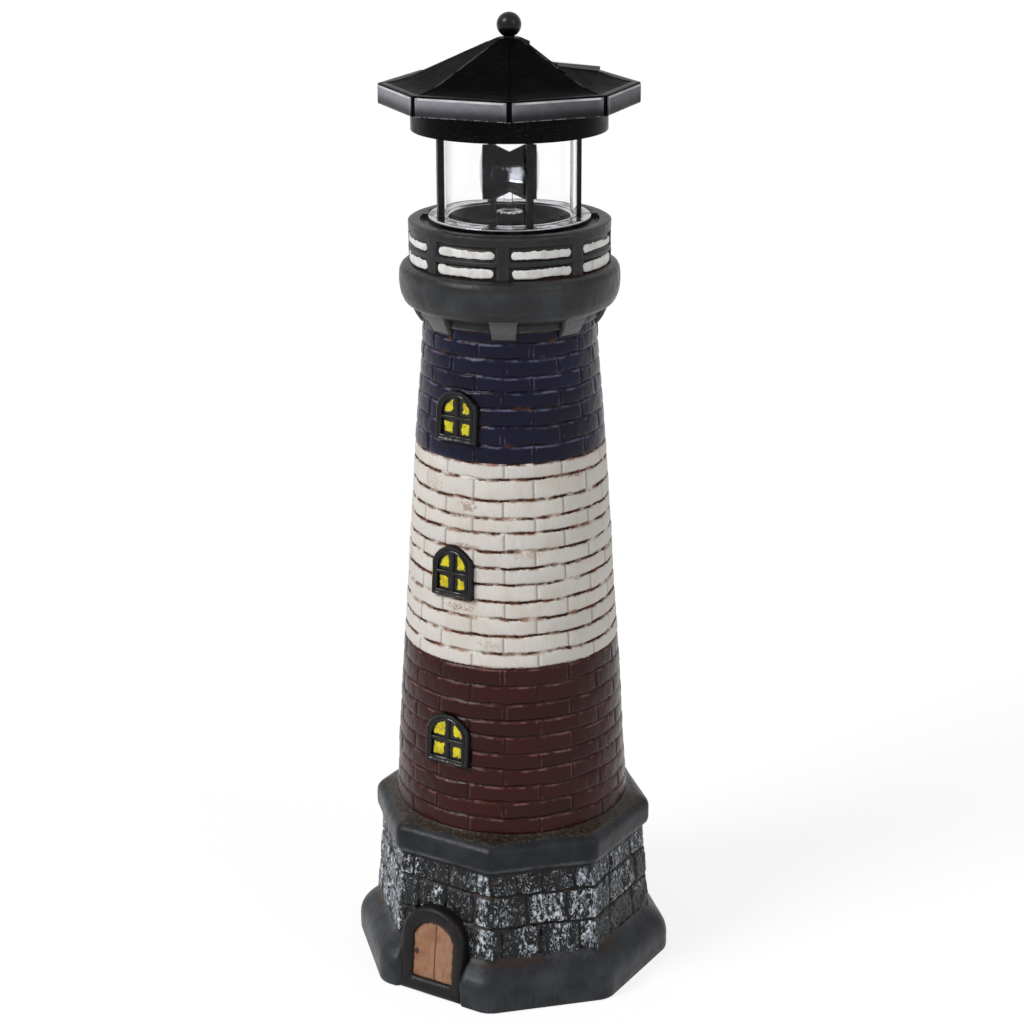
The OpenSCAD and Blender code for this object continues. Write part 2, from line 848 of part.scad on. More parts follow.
module floor_plate() {
    mouth = bowl_d / 2;
    deep = mouth - 3.5;
    low = ring_z - 0.9;
    color(chrome)
        head()
            difference() {
                rotate_extrude()
                    polygon([
                        [hub_d / 2 + seat_clear, bowl_z - bowl_wall], [deep, bowl_z - bowl_wall],
                        [mouth - 0.6 + bowl_wall, bowl_z + 3], [mouth + bowl_wall, low], [floor_d / 2, low],
                        [floor_d / 2, floor_z - 0.4], [floor_d / 2 - 0.4, floor_z], [mouth + 1, floor_z],
                        [mouth, floor_z - 0.8], [mouth - 0.6, bowl_z + 3], [deep - 0.6, bowl_z],
                        [hub_d / 2 + seat_clear, bowl_z]]);
                for (i = [0 : 3])
                    at(post_azimuth + i * 90)
                        translate([-post_w / 2 - seat_clear, -post_r - post_w / 2 - seat_clear, low - 1])
                            cube([post_w + 2 * seat_clear, post_w + 2 * seat_clear, 6]);
                for (side = [-1, 1])
                    lead_place(side)
                        translate([0, 0, bowl_z - 4])
                            cylinder(h = bowl_depth + 8, r = lead_r + seat_clear, $fn = 32);
            }
}

// ---------------------------------------------------------------- reflector

module hub_bush() {
    color(black)
        head()
            difference() {
                union() {
                    translate([0, 0, large_z + gear_t + 1])
                        cylinder(h = ring_z + hub_rise - large_z - gear_t - 1, d = hub_d);
                    translate([0, 0, bowl_z - bowl_wall - 1.2])
                        cylinder(h = 1.2, r = hub_d / 2 + 2);
                }
                translate([0, 0, large_z])
                    cylinder(h = 30, r = spindle_r + run_clear);
            }
}

spindle_foot_z = gear_plate_top + 0.4;

module spindle() {
    color(clear)
        head()
            translate([0, 0, spindle_foot_z])
                cylinder(h = reflector_z - spindle_foot_z, r = spindle_r);
}

// One dish, opening along +X, with a blind bore at its back that takes half the spindle
module dish() {
    rim = dish_d / 2;
    waist = waist_d / 2;
    shoulder = dish_l * 0.52;
    difference() {
        rotate([0, 90, 0])
            rotate_extrude()
                polygon(concat(
                    [[0, 0], [waist, 0], [rim - 0.3, shoulder], [rim, shoulder + 1], [rim, dish_l]],
                    [for (i = [8 : -1 : 1]) let (r = (rim - dish_wall) * i / 8)
                        [r, 4 + (dish_l - 4) * (i / 8) * (i / 8)]],
                    [[0, 4]]
                ));
        translate([0, 0, -waist - 5])
            cylinder(h = waist + 5, r = spindle_r + 0.02);
        // window that lets the spindle's light into the dish
        rotate([0, 90, 0])
            cylinder(h = 6, r = 1.8, $fn = 32);
    }
}

module reflector_half(side) {
    color(chrome)
        head()
            translate([0, 0, reflector_z])
                rotate([0, 0, side < 0 ? 180 : 0])
                    dish();
}

module reflector_left() {
    reflector_half(-1);
}

module reflector_right() {
    reflector_half(1);
}

module lens_cap(side) {
    rim = dish_d / 2;
    color(clear)
        head()
            translate([0, 0, reflector_z])
                rotate([0, 0, side < 0 ? 180 : 0])
                    translate([dish_l, 0, 0])
                        rotate([0, 90, 0])
                            rotate_extrude()
                                polygon(concat(
                                    [[0, lens_rise - dish_wall * 0.8], [0, lens_rise]],
                                    [for (i = [1 : 6]) let (u = i / 6)
                                        [rim * u, lens_rise - (lens_rise - 0.5) * u * u]],
                                    [[rim, 0], [rim - 1.2, 0]],
                                    [for (i = [5 : -1 : 1]) let (u = i / 6)
                                        [(rim - 1.2) * u, (lens_rise - dish_wall * 0.8) * (1 - u * u)]]
                                ));
}

module lens_left() {
    lens_cap(-1);
}

module lens_right() {
    lens_cap(1);
}

// ---------------------------------------------------------------- gear train

// A gear outline with straight-sided teeth; the first tooth points along +X
module gear_outline(teeth) {
    pitch_r = teeth * tooth_module / 2;
    tip_r = pitch_r + tooth_module * 0.8;
    root_r = pitch_r - tooth_module * 1.05;
    pitch_a = 360 / teeth;
    half_pitch = (90 / teeth) - backlash / 2 / pitch_r * 180 / PI / 2;
    lean = tooth_module * 0.36 / pitch_r * 180 / PI;
    polygon([for (i = [0 : teeth - 1]) let (a = i * pitch_a)
        each [
            [root_r * cos(a - half_pitch - lean * 1.1), root_r * sin(a - half_pitch - lean * 1.1)],
            [tip_r * cos(a - half_pitch + lean), tip_r * sin(a - half_pitch + lean)],
            [tip_r * cos(a + half_pitch - lean), tip_r * sin(a + half_pitch - lean)],
            [root_r * cos(a + half_pitch + lean * 1.1), root_r * sin(a + half_pitch + lean * 1.1)]
        ]]);
}

module drive_gear() {
    color("white")
        head()
            translate([0, 0, drive_z])
                difference() {
                    union() {
                        linear_extrude(gear_t)
                            gear_outline(drive_teeth);
                        translate([0, 0, -0.9])
                            cylinder(h = gear_t + 1.2, r = gear_hub_r);
                    }
                    translate([0, 0, -2])
                        cylinder(h = gear_t + 6, r = spindle_r + 0.01);
                }
}

// The small step's gap faces the drive gear's tooth, so its own teeth are half a pitch off +X
module idler_gear() {
    color("ivory")
        head()
            translate([idler_x, 0, 0])
                difference() {
                    union() {
                        translate([0, 0, drive_z - 0.2])
                            linear_extrude(gear_t + 0.4)
                                rotate([0, 0, small_phase])
                                    gear_outline(small_teeth);
                        translate([0, 0, idler_z])
                            cylinder(h = bowl_z - bowl_wall - 0.3 - idler_z,
                                     r = small_r - tooth_module * 1.05);
                        translate([0, 0, large_z])
                            linear_extrude(gear_t)
                                rotate([0, 0, large_phase])
                                    gear_outline(large_teeth);
                    }
                    translate([0, 0, idler_z - 1])
                        cylinder(h = 20, r = pin_r + run_clear, $fn = 32);
                }
}

// Turns that bring a gap of the follower against a tooth at rest
drive_tooth_at = round(180 / (360 / drive_teeth)) * (360 / drive_teeth) - 180;
small_phase = 180 / small_teeth - drive_tooth_at * drive_teeth / small_teeth;
large_phase = 90;
pinion_phase = -90 + 180 / pinion_teeth;

module idler_pin() {
    color("silver")
        head()
            translate([idler_x, 0, gear_plate_top - 1])
                cylinder(h = bowl_z - bowl_wall - gear_plate_top + 1 - touch, r = pin_r, $fn = 32);
}

module motor() {
    color("silver")
        head()
            translate([idler_x, motor_y, 0])
                difference() {
                    union() {
                        translate([0, 0, gear_plate_z - motor_l])
                            cylinder(h = motor_l, d = motor_d);
                        translate([0, 0, gear_plate_z - motor_l - 0.8])
                            cylinder(h = 1, d = motor_d * 0.5);
                        translate([0, 0, gear_plate_z - e])
                            cylinder(h = gear_plate_t, r = 2.5, $fn = 32);
                    }
                    translate([0, 0, gear_plate_z - motor_l + 1])
                        cylinder(h = 30, r = shaft_r + run_clear, $fn = 32);
                }
}

module motor_pinion() {
    color("gold")
        head()
            translate([idler_x, motor_y, 0]) {
                translate([0, 0, gear_plate_z - motor_l + 1.2])
                    cylinder(h = large_z + gear_t + 0.4 - gear_plate_z + motor_l - 1.2, r = shaft_r,
                             $fn = 32);
                translate([0, 0, large_z - 0.2])
                    linear_extrude(gear_t + 0.4)
                        rotate([0, 0, pinion_phase])
                            gear_outline(pinion_teeth);
            }
}

gear_plate_r = housing_r - housing_wall - 0.6;
gear_pillar_azimuths = [25, 150, 315];
lamp_collar_r = 5.2;
leg_azimuths = [65, 160, 245, 335];
leg_r = 2.2;

module gear_plate() {
    color([0.85, 0.85, 0.8])
        head()
            difference() {
                union() {
                    translate([0, 0, gear_plate_z])
                        cylinder(h = gear_plate_t, r = gear_plate_r);
                    // pillars up to the floor's underside
                    for (azimuth = gear_pillar_azimuths)
                        at(azimuth)
                            translate([0, -21, gear_plate_z])
                                cylinder(h = bowl_z - bowl_wall - gear_plate_z - touch, r = 2, $fn = 32);
                    // thrust ring under the drive gear, and the collar that holds the lamp board
                    translate([0, 0, gear_plate_z])
                        cylinder(h = gear_plate_t + 0.15, r = gear_hub_r);
                    translate([0, 0, led_board_z + led_board_t])
                        cylinder(h = gear_plate_z - led_board_z - led_board_t + e, r = lamp_collar_r);
                }
                translate([0, 0, led_board_z])
                    cylinder(h = 12, r = spindle_r + 0.1);
                translate([idler_x, motor_y, gear_plate_z - 1])
                    cylinder(h = 5, r = 2.5 + seat_clear / 2, $fn = 32);
                translate([idler_x, 0, gear_plate_top - 1])
                    cylinder(h = 5, r = pin_r + 0.01, $fn = 32);
                // notch for the leads
                translate([-14, lead_circle - 3.4, gear_plate_z - 1])
                    cube([13, 20, 5]);
                // notches round the housing's screw pillars
                for (i = [0 : 3])
                    at(i * 90)
                        translate([0, -screw_circle, gear_plate_z - 1])
                            cylinder(h = 5, r = pillar_r + 0.4, $fn = 32);
            }
}

led_board_z = gear_plate_z - 4.2;
led_board_t = 1.2;

module led_board() {
    color("darkgreen")
        head()
            translate([0, 0, led_board_z])
                cylinder(h = led_board_t, r = lamp_collar_r);
}

module led() {
    color("white")
        head()
            translate([0, 0, led_board_z + led_board_t]) {
                cylinder(h = 1, r = 2.7);
                cylinder(h = 2.2, r = 2.3);
                translate([0, 0, 2.2])
                    sphere(r = 2.2);
            }
}

// ---------------------------------------------------------------- housing

module lower_housing() {
    top_z = ring_z - ring_t - touch;
    color(black)
        head()
            difference() {
                union() {
                    difference() {
                        translate([0, 0, housing_z])
                            cylinder(h = top_z - housing_z, r = housing_r);
                        translate([0, 0, housing_floor_z])
                            cylinder(h = housing_h, r = housing_r - housing_wall);
                    }
                    // screw pillars
                    for (i = [0 : 3])
                        at(i * 90)
                            translate([0, -screw_circle, housing_z])
                                cylinder(h = top_z - housing_z, r = pillar_r, $fn = 32);
                    // legs under the gear plate, clear of the cell and the board
                    for (azimuth = leg_azimuths)
                        at(azimuth)
                            translate([0, -housing_r + housing_wall + leg_r - 0.4, housing_z])
                                cylinder(h = gear_plate_z - housing_z - touch, r = leg_r, $fn = 32);
                    // cradle walls at the cell's ends
                    for (side = [-1, 1])
                        translate([side * (bay_l / 2 + 0.7) - 0.6, cell_y - door_wide / 2, housing_z])
                            cube([1.2, door_wide, 14]);
                    // posts under the circuit board
                    for (side = [-1, 1])
                        translate([board_x + side * board_hole_x, board_y + board_hole_y, housing_z])
                            cylinder(h = board_z - housing_z - touch, r = 1.8, $fn = 32);
                    // ears of the door's hinge
                    for (side = [-1, 1])
                        translate([hinge_x - 2, cell_y + side * (door_wide / 2 - 1.5) - 1, housing_z])
                            cube([4, 2, housing_wall + 0.8]);
                }
                // opening over the battery door
                translate([hinge_x + 1.4, cell_y - door_wide / 2 - door_clear, housing_z - 1])
                    cube([door_l + 2 * door_clear, door_wide + 2 * door_clear, housing_wall + 1.01]);
                // room for the hinge's knuckle
                translate([hinge_x - 1.6, cell_y - door_wide / 2 + 3, housing_z - 1])
                    cube([4, door_wide - 6, housing_wall + 1.01]);
                // hinge bore
                translate([hinge_x, cell_y + door_wide, hinge_z + 0.1])
                    rotate([90, 0, 0])
                        cylinder(h = 2 * door_wide, r = hinge_r - 0.3 + run_clear, $fn = 32);
                // slot of the switch
                translate([switch_x - 1.5 - door_clear, switch_y - 1.5 - door_clear, housing_z - 1])
                    cube([3 + switch_travel + 2 * door_clear, 3 + 2 * door_clear, housing_wall + 3]);
                for (i = [0 : 3])
                    at(i * 90)
                        translate([0, -screw_circle, housing_z - 1]) {
                            cylinder(h = 60, r = screw_r + 0.5, $fn = 32);
                            cylinder(h = screw_sink + 2.2, r = screw_head_r + seat_clear, $fn = 32);
                        }
                for (side = [-1, 1])
                    translate([board_x + side * board_hole_x, board_y + board_hole_y, housing_floor_z])
                        cylinder(h = 20, r = 0.7, $fn = 32);
            }
}

module housing_screws() {
    color("silver")
        head()
            for (i = [0 : 3])
                at(i * 90)
                    translate([0, -screw_circle, housing_z + screw_sink]) {
                        cylinder(h = screw_head_h, r = screw_head_r, $fn = 32);
                        cylinder(h = ring_z - 1.2 - housing_z - screw_sink, r = screw_r, $fn = 32);
                    }
}

module circuit_board() {
    color("darkgreen")
        head() {
            difference() {
                translate([board_x - board_w / 2, board_y - board_l / 2, board_z])
                    cube([board_w, board_l, board_t]);
                for (side = [-1, 1])
                    translate([board_x + side * board_hole_x, board_y + board_hole_y, board_z - 1])
                        cylinder(h = 4, r = 0.75, $fn = 32);
            }
            // chip, coil and two capacitors
            translate([board_x - 3, board_y - 4, board_z + board_t])
                cube([5, 4, 1.6]);
            translate([board_x + 6, board_y - 3, board_z + board_t])
                cylinder(h = 4, r = 2.5, $fn = 32);
            for (side = [0, 1])
                translate([board_x - 8, board_y - 5 + side * 4, board_z + board_t])
                    cylinder(h = 3.2, r = 1.4, $fn = 32);
        }
}

module board_screws() {
    color("silver")
        head()
            for (side = [-1, 1])
                translate([board_x + side * board_hole_x, board_y + board_hole_y, board_z + board_t]) {
                    cylinder(h = 1, r = 1.4, $fn = 32);
                    translate([0, 0, -board_t - 2.6])
                        cylinder(h = board_t + 2.7, r = 0.68, $fn = 32);
                }
}

module switch_body() {
    color("silver")
        head()
            difference() {
                translate([switch_x - 4, switch_y - 2.6, housing_floor_z + 0.4])
                    cube([8 + switch_travel, 5.2, board_z - housing_floor_z - 0.4 - 0.02]);
                translate([switch_x - 1.6 - door_clear, switch_y - 1.2 - door_clear, housing_floor_z - 1])
                    cube([3.2 + switch_travel + 2 * door_clear, 2.4 + 2 * door_clear, 4]);
            }
}

module switch_knob() {
    color("white")
        head() {
            translate([switch_x - 1.5, switch_y - 1.2, housing_z - 0.8])
                cube([3, 2.4, housing_wall + 3]);
        }
}

module battery_cell() {
    color("green")
        head()
            translate([-cell_l / 2, cell_y, cell_z])
                rotate([0, 90, 0]) {
                    cylinder(h = cell_l - 1.2, d = cell_d);
                    cylinder(h = cell_l, r = 2.7);
                }
}

module contact_plus() {
    color("silver")
        head()
            translate([bay_l / 2 - 0.5, cell_y - 4.5, cell_z - 5]) {
                cube([0.5, 9, 10]);
                translate([-contact_gap + 0.55, 4.5, 5])
                    rotate([0, 90, 0])
                        cylinder(h = contact_gap - 0.5, r1 = 1.6, r2 = 3);
            }
}

module contact_minus() {
    color("silver")
        head()
            translate([-bay_l / 2, cell_y - 4.5, cell_z - 5]) {
                cube([0.5, 9, 10]);
                translate([0.4, 4.5, 5])
                    rotate([0, 90, 0])
                        cylinder(h = contact_gap - 0.45, r1 = 3.4, r2 = 2);
            }
}

module battery_door() {
    color(black)
        head() {
            translate([hinge_x + 1.4 + door_clear, cell_y - door_wide / 2, housing_z])
                cube([door_l, door_wide, door_t]);
            // knuckle and its two pins
            translate([hinge_x, cell_y - door_wide / 2 + 3.4, housing_z])
                cube([3, door_wide - 6.8, door_t]);
            translate([hinge_x, cell_y + door_wide / 2 - 3.4, hinge_z + 0.1])
                rotate([90, 0, 0])
                    cylinder(h = door_wide - 6.8, r = hinge_r - 0.1, $fn = 32);
            translate([hinge_x, cell_y + door_wide / 2 - 0.6, hinge_z + 0.1])
                rotate([90, 0, 0])
                    cylinder(h = door_wide - 1.2, r = hinge_r - 0.3, $fn = 32);
        }
}

// ---------------------------------------------------------------- leads

// Place of a lead inside the clear cylinder, just beside the rear post
module lead_place(side) {
    at(post_azimuth + 180 + side * lead_turn)
        translate([0, -lead_circle, 0])
            children();
}

module lead(side) {
    a = post_azimuth + 180 + side * lead_turn;
    x = lead_circle * sin(a);
    y = -lead_circle * cos(a);
    low = lead_z + (1 - side) * lead_r * 1.3;
    top = seat_top_z + (seat_back - lead_circle * cos(a - panel_azimuth)) * tan(panel_tilt) - lead_r - 0.3;
    translate([x, y, low])
        cylinder(h = top - low, r = lead_r, $fn = 16);
    translate([x, y, low])
        sphere(r = lead_r, $fn = 16);
    translate([x, y, top])
        sphere(r = lead_r, $fn = 16);
    translate([x, y, low])
        rotate([0, 90, 0])
            cylinder(h = board_x - board_w / 2 + 3 - x, r = lead_r, $fn = 16);
}

module red_lead() {
    color("red")
        head()
            lead(1);
}

module black_lead() {
    color(black)
        head()
            lead(-1);
}

tower_shell();
roof_cover();
finial_ball();
solar_panel();
ceiling_cup();
roof_screws();
lamp_tube();
lamp_base();
floor_plate();
hub_bush();
spindle();
reflector_left();
reflector_right();
lens_left();
lens_right();
drive_gear();
idler_gear();
idler_pin();
motor();
motor_pinion();
gear_plate();
led_board();
led();
lower_housing();
housing_screws();
circuit_board();
board_screws();
switch_body();
switch_knob();
battery_cell();
contact_plus();
contact_minus();
battery_door();
red_lead();
black_lead();
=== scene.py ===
"""Looks of the garden lighthouse ornament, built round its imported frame.

Lengths are millimetres until a mesh is made, when they become metres. The tower's axis is Z, and an azimuth is
counted in degrees from -Y towards +X, so the door is at azimuth 0 and the camera stands at CAMERA_AZIMUTH.
Tints are red, green and blue as a screen shows them, from 0 to 255.
"""
import math

import bpy
import numpy as np
from mathutils import Matrix


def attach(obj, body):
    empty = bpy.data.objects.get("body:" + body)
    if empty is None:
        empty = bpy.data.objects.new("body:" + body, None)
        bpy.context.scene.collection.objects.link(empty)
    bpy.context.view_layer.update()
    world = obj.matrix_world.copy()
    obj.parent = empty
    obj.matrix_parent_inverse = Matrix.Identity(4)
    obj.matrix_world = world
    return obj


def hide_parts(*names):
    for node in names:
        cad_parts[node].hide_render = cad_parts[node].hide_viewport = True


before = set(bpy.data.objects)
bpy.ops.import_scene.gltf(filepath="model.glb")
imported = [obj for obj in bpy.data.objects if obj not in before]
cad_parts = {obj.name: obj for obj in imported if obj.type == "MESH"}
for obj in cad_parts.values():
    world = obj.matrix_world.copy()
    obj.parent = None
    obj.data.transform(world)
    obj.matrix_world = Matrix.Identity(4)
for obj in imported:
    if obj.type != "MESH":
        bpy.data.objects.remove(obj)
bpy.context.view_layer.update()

MM = 0.001
# Degrees between the middle of an octagon's side and its corner
EIGHTH = 22.5

# ---- sizes

CAMERA_AZIMUTH = 31.5

# Heights of the tower's stretches
SKIRT_TOP = 22.0
LEDGE_FOOT = 69.5
TOWER_FOOT = 87.0
WHITE_FOOT = 170.5
BLUE_FOOT = 270.0
NECK_FOOT = 331.0

# Radius of the brick tower at a few heights
TOWER_RADII = ((TOWER_FOOT, 57.8), (118.0, 56.0), (150.5, 54.0), (198.0, 50.6), (238.0, 48.1), (283.7, 44.8),
               (319.0, 41.7), (NECK_FOOT, 41.3))

# Half widths across the flats of the stone wall, at the skirt's top and at the ledge
WALL_FOOT_HALF = 65.5
WALL_TOP_HALF = 62.0


def tower_radius(z):
    """Radius of the brick tower at height z."""
    return np.interp(z, *zip(*TOWER_RADII))


def wall_half(z):
    """Half width across the flats of the stone wall at height z."""
    return np.interp(z, (SKIRT_TOP, LEDGE_FOOT), (WALL_FOOT_HALF, WALL_TOP_HALF))


# ---- numbers that repeat

WORD = 0xFFFFFFFF
HASH_START = 2166136261
HASH_FACTOR = 16777619
HASH_STIR = 73244475


def hashed(*keys):
    """A repeatable random number from 0 to 1 for each set of whole numbers."""
    h = np.int64(HASH_START)
    for key in keys:
        h = ((h ^ (np.asarray(key, np.int64) & WORD)) * HASH_FACTOR) & WORD
        h = h ^ (h >> 15)
    h = (h * HASH_STIR) & WORD
    return (h ^ (h >> 16)) / WORD


def ripple(points, size, seed=0):
    """Smooth noise from -1 to 1 over an array of points, with features about size mm across."""
    place = np.asarray(points, float) / size
    cell = np.floor(place).astype(np.int64)
    t = place - cell
    t = t * t * (3 - 2 * t)
    total = 0
    for corner in np.ndindex(2, 2, 2):
        weight = np.prod([t[..., i] if corner[i] else 1 - t[..., i] for i in range(3)], axis=0)
        total = total + weight * hashed(*(cell[..., i] + corner[i] for i in range(3)), seed)
    return total * 2 - 1


def dents(points, *layers):
    """Hollows over an array of points, from layers of their half depth, size and seed."""
    return sum(depth * (ripple(points, size, seed) - 1) for depth, size, seed in layers)


def smooth(value, low, high):
    """0 below low, 1 above high and a smooth rise between them."""
    t = np.clip((value - low) / (high - low), 0, 1)
    return t * t * (3 - 2 * t)


def hump(distance, width):
    """1 at no distance, and a smooth fall to 0 on either side."""
    return np.exp(-(distance / width) ** 2)


def polar(azimuth, radius, z):
    """Points at azimuths, radii and heights that broadcast together."""
    a = np.radians(azimuth)
    return np.stack(np.broadcast_arrays(radius * np.sin(a), -radius * np.cos(a), z + 0 * a), -1)


def ring(count):
    """Azimuths of so many points round the axis."""
    return np.arange(count) * 360.0 / count


def spun(profile, azimuths):
    """Grid of points of a half profile of (radius, z) turned about the axis."""
    profile = np.asarray(profile, float)
    return polar(azimuths[None, :], profile[:, :1], profile[:, 1:])


# ---- meshes

def placed(name, data):
    """A new object in the scene."""
    thing = bpy.data.objects.new(name, data)
    bpy.context.scene.collection.objects.link(thing)
    return thing


def make_piece(name, points, faces, look, values=None, smooth_angle=40, body="tower", slot="painted_shell"):
    """A mesh from points in millimetres, finished with a look, that rides on a body."""
    mesh = bpy.data.meshes.new(name)
    points = np.asarray(points, float).reshape(-1, 3)
    sizes = np.array([len(f) for f in faces], np.int32)
    mesh.vertices.add(len(points))
    mesh.vertices.foreach_set("co", (points * MM).astype(np.float32).ravel())
    mesh.loops.add(int(sizes.sum()))
    mesh.loops.foreach_set("vertex_index", np.concatenate([np.asarray(f, np.int32) for f in faces]))
    mesh.polygons.add(len(sizes))
    mesh.polygons.foreach_set("loop_start", np.concatenate([[0], np.cumsum(sizes)[:-1]]).astype(np.int32))
    mesh.update(calc_edges=True)
    for key, value in (values or {}).items():
        attribute = mesh.attributes.new(key, "FLOAT", "POINT")
        attribute.data.foreach_set("value", np.asarray(value, np.float32).ravel())
    mesh.validate()
    mesh.polygons.foreach_set("use_smooth", np.ones(len(mesh.polygons), bool))
    mesh.set_sharp_from_angle(angle=math.radians(smooth_angle))
    mesh.materials.append(look)
    piece = placed(name, mesh)
    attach(piece, body)
    # what is made on the tower stands for its shell
    if body == "tower":
        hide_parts("tower_shell")


def grid_faces(rows, columns, closed=True, start=0):
    """Quads of a grid of rows by columns; a closed grid joins its last column to its first."""
    across = columns if closed else columns - 1
    r, c = np.meshgrid(np.arange(rows - 1), np.arange(across), indexing="ij")
    after = (c + 1) % columns
    quads = np.stack([r * columns + c, r * columns + after, (r + 1) * columns + after, (r + 1) * columns + c], -1)
    return list((quads.reshape(-1, 4) + start).astype(np.int32))


def make_grid(name, points, look, values=None, closed=True, **settings):
    """A piece from a grid of points, shape (rows, columns, 3)."""
    make_piece(name, points, grid_faces(*points.shape[:2], closed), look, values, **settings)


# ---- materials


def linear(value):
    """A scene value from a screen value."""
    value /= 255
    return value / 12.92 if value <= 0.04045 else ((value + 0.055) / 1.055) ** 2.4


class Nodes:
    """The node tree of a material or a world, emptied and built up node by node."""

    def __init__(self, owner):
        owner.use_nodes = True
        self.tree = owner.node_tree
        self.tree.nodes.clear()

    def node(self, kind, inputs=None, **settings):
        """A new node. Its inputs are values or the outputs of other nodes."""
        node = self.tree.nodes.new("ShaderNode" + kind)
        for key, value in settings.items():
            setattr(node, key, value)
        for key, value in (inputs or {}).items():
            if isinstance(value, bpy.types.NodeSocket):
                self.tree.links.new(value, node.inputs[key])
            else:
                node.inputs[key].default_value = value
        return node

    def math(self, operation, a, b=0.0):
        """A sum on one or two numbers."""
        return self.node("Math", {0: a, 1: b}, operation=operation).outputs[0]

    def add(self, a, b):
        return self.math("ADD", a, b)

    def product(self, first, *values):
        for value in values:
            first = self.math("MULTIPLY", first, value)
        return first

    def between(self, factor, a, b):
        """A number that goes from a to b with the factor."""
        return self.node("Mix", {0: factor, 2: a, 3: b}, data_type="FLOAT").outputs[0]

    def seen(self):
        """1 for rays that show a background: from the camera, off gloss or through glass."""
        rays = self.node("LightPath").outputs
        sharp = self.math("MAXIMUM", rays["Is Camera Ray"], rays["Is Glossy Ray"])
        return self.math("MAXIMUM", sharp, rays["Is Transmission Ray"])


class Look(Nodes):
    """A procedural material. Its paint builds up coat by coat. Sizes are millimetres."""

    def __init__(self, name, *first_coat):
        """The first coat is a tint, a second tint and the second's patches."""
        self.material = bpy.data.materials.new(name)
        super().__init__(self.material)
        self.position = self.node("TexCoord").outputs["Object"]
        if first_coat:
            self.paint = self.mottle(*first_coat)

    def value(self, name):
        """A value that the mesh carries."""
        return self.node("Attribute", attribute_name=name).outputs["Fac"]

    def texture(self, kind, size, stretch=(1, 1, 1), **inputs):
        """The outputs of a texture with features about size mm across."""
        place = self.node("VectorMath", {0: self.position, 1: [s / MM for s in stretch]}, operation="MULTIPLY")
        return self.node("Tex" + kind, {"Vector": place.outputs[0], "Scale": 1 / size, **inputs}).outputs

    def noise(self, size, detail=3.0, stretch=(1, 1, 1), roughness=0.5, distortion=0.0):
        """Noise from 0 to 1; a stretch under 1 lengthens its features along that axis."""
        more = {"Detail": detail, "Roughness": roughness, "Distortion": distortion}
        return self.texture("Noise", size, stretch, **more)["Fac"]

    def rise(self, value, low, high):
        """0 to 1 as the value goes from low to high; low may be the larger."""
        return self.node("MapRange", {"Value": value, "From Min": low, "From Max": high},
                         interpolation_type="SMOOTHSTEP").outputs["Result"]

    def span(self, value, start, full, fading, end):
        """1 from full to fading, and 0 before start and after end."""
        return self.product(self.rise(value, start, full), self.rise(value, end, fading))

    def off(self, value, middle):
        """Distance of a value from a middle."""
        return self.math("ABSOLUTE", self.math("SUBTRACT", value, middle))

    def patches(self, size, low, high, *more):
        """0 to 1 in patches, as noise goes from low to high."""
        return self.rise(self.noise(size, *more), low, high)

    def ragged(self, size, reach, *more):
        """Noise about 0, to fray an edge by up to half the reach."""
        return self.product(self.math("SUBTRACT", self.noise(size, *more), 0.5), reach)

    def mix(self, factor, a, b):
        """From a to b: each is a tint, the output of a node or a list of scene values."""
        a, b = (tuple(map(linear, v)) + (1.0,) if isinstance(v, tuple) else v for v in (a, b))
        return self.node("Mix", {0: factor, 6: a, 7: b}, data_type="RGBA").outputs[2]

    def mottle(self, a, b, *patches):
        """Tint a with patches of tint b."""
        return self.mix(self.patches(*patches), a, b)

    def coat(self, tint, *strengths):
        """A further coat, as thick as the product of the strengths."""
        self.paint = self.mix(self.product(*strengths), self.paint, tint)

    def axes(self, turn):
        """Position in millimetres, turned back by an azimuth: across, in depth and up."""
        inputs = {"Vector": self.position, "Axis": (0, 0, 1), "Angle": -math.radians(turn)}
        place = self.node("VectorRotate", inputs, rotation_type="AXIS_ANGLE").outputs[0]
        scaled = self.node("VectorMath", {0: place, 1: [1 / MM] * 3}, operation="MULTIPLY").outputs[0]
        return list(self.node("SeparateXYZ", {0: scaled}).outputs)

    def rounded(self, edge):
        """A normal that rounds off edges to a radius."""
        return self.node("Bevel", {"Radius": edge * MM}, samples=4).outputs["Normal"]

    def relief(self, layers, normal=None):
        """Layers of relief, each the size of its noise, or a height from 0 to 1, and its depth in mm."""
        for height, depth, *more in layers:
            if not isinstance(height, bpy.types.NodeSocket):
                height = self.noise(height, *more)
            inputs = {"Height": height, "Distance": depth * MM, "Strength": 1.0}
            if normal is not None:
                inputs["Normal"] = normal
            normal = self.node("Bump", inputs).outputs[0]
        return normal

    def finish(self, roughness, layers, specular=None, normal=None, **sockets):
        """The closing shader. A roughness is an output, or the size of its noise with its low and high value."""
        if isinstance(roughness, tuple):
            size, low, high = roughness
            roughness = self.between(self.noise(size), low, high)
        inputs = {key.replace("_", " "): value for key, value in sockets.items()}
        if specular is not None:
            inputs["Specular IOR Level"] = specular
        shader = self.node("BsdfPrincipled", {"Base Color": self.paint, "Roughness": roughness,
                                              "Normal": self.relief(layers, normal), **inputs})
        self.node("OutputMaterial", {"Surface": shader.outputs[0]})
        return self.material


# ---- camera, light and floor

CAMERA_HEIGHT = 589.19
CAMERA_DISTANCE = 1063.4
CAMERA_PITCH = 18.61
CAMERA_ROLL = -0.217
LENS = 81.0
SHIFT = (0.00117, 0.00079)
WORLD_LIGHT = 0.45
SEEN_LIGHT = 1.0
# Lamps: azimuth from the camera's, elevation, strength and spread
LAMPS = {"key": (-58, 40, 1.98, 24), "fill": (48, 28, 0.4, 30)}
FLOOR_HALF = 20000.0
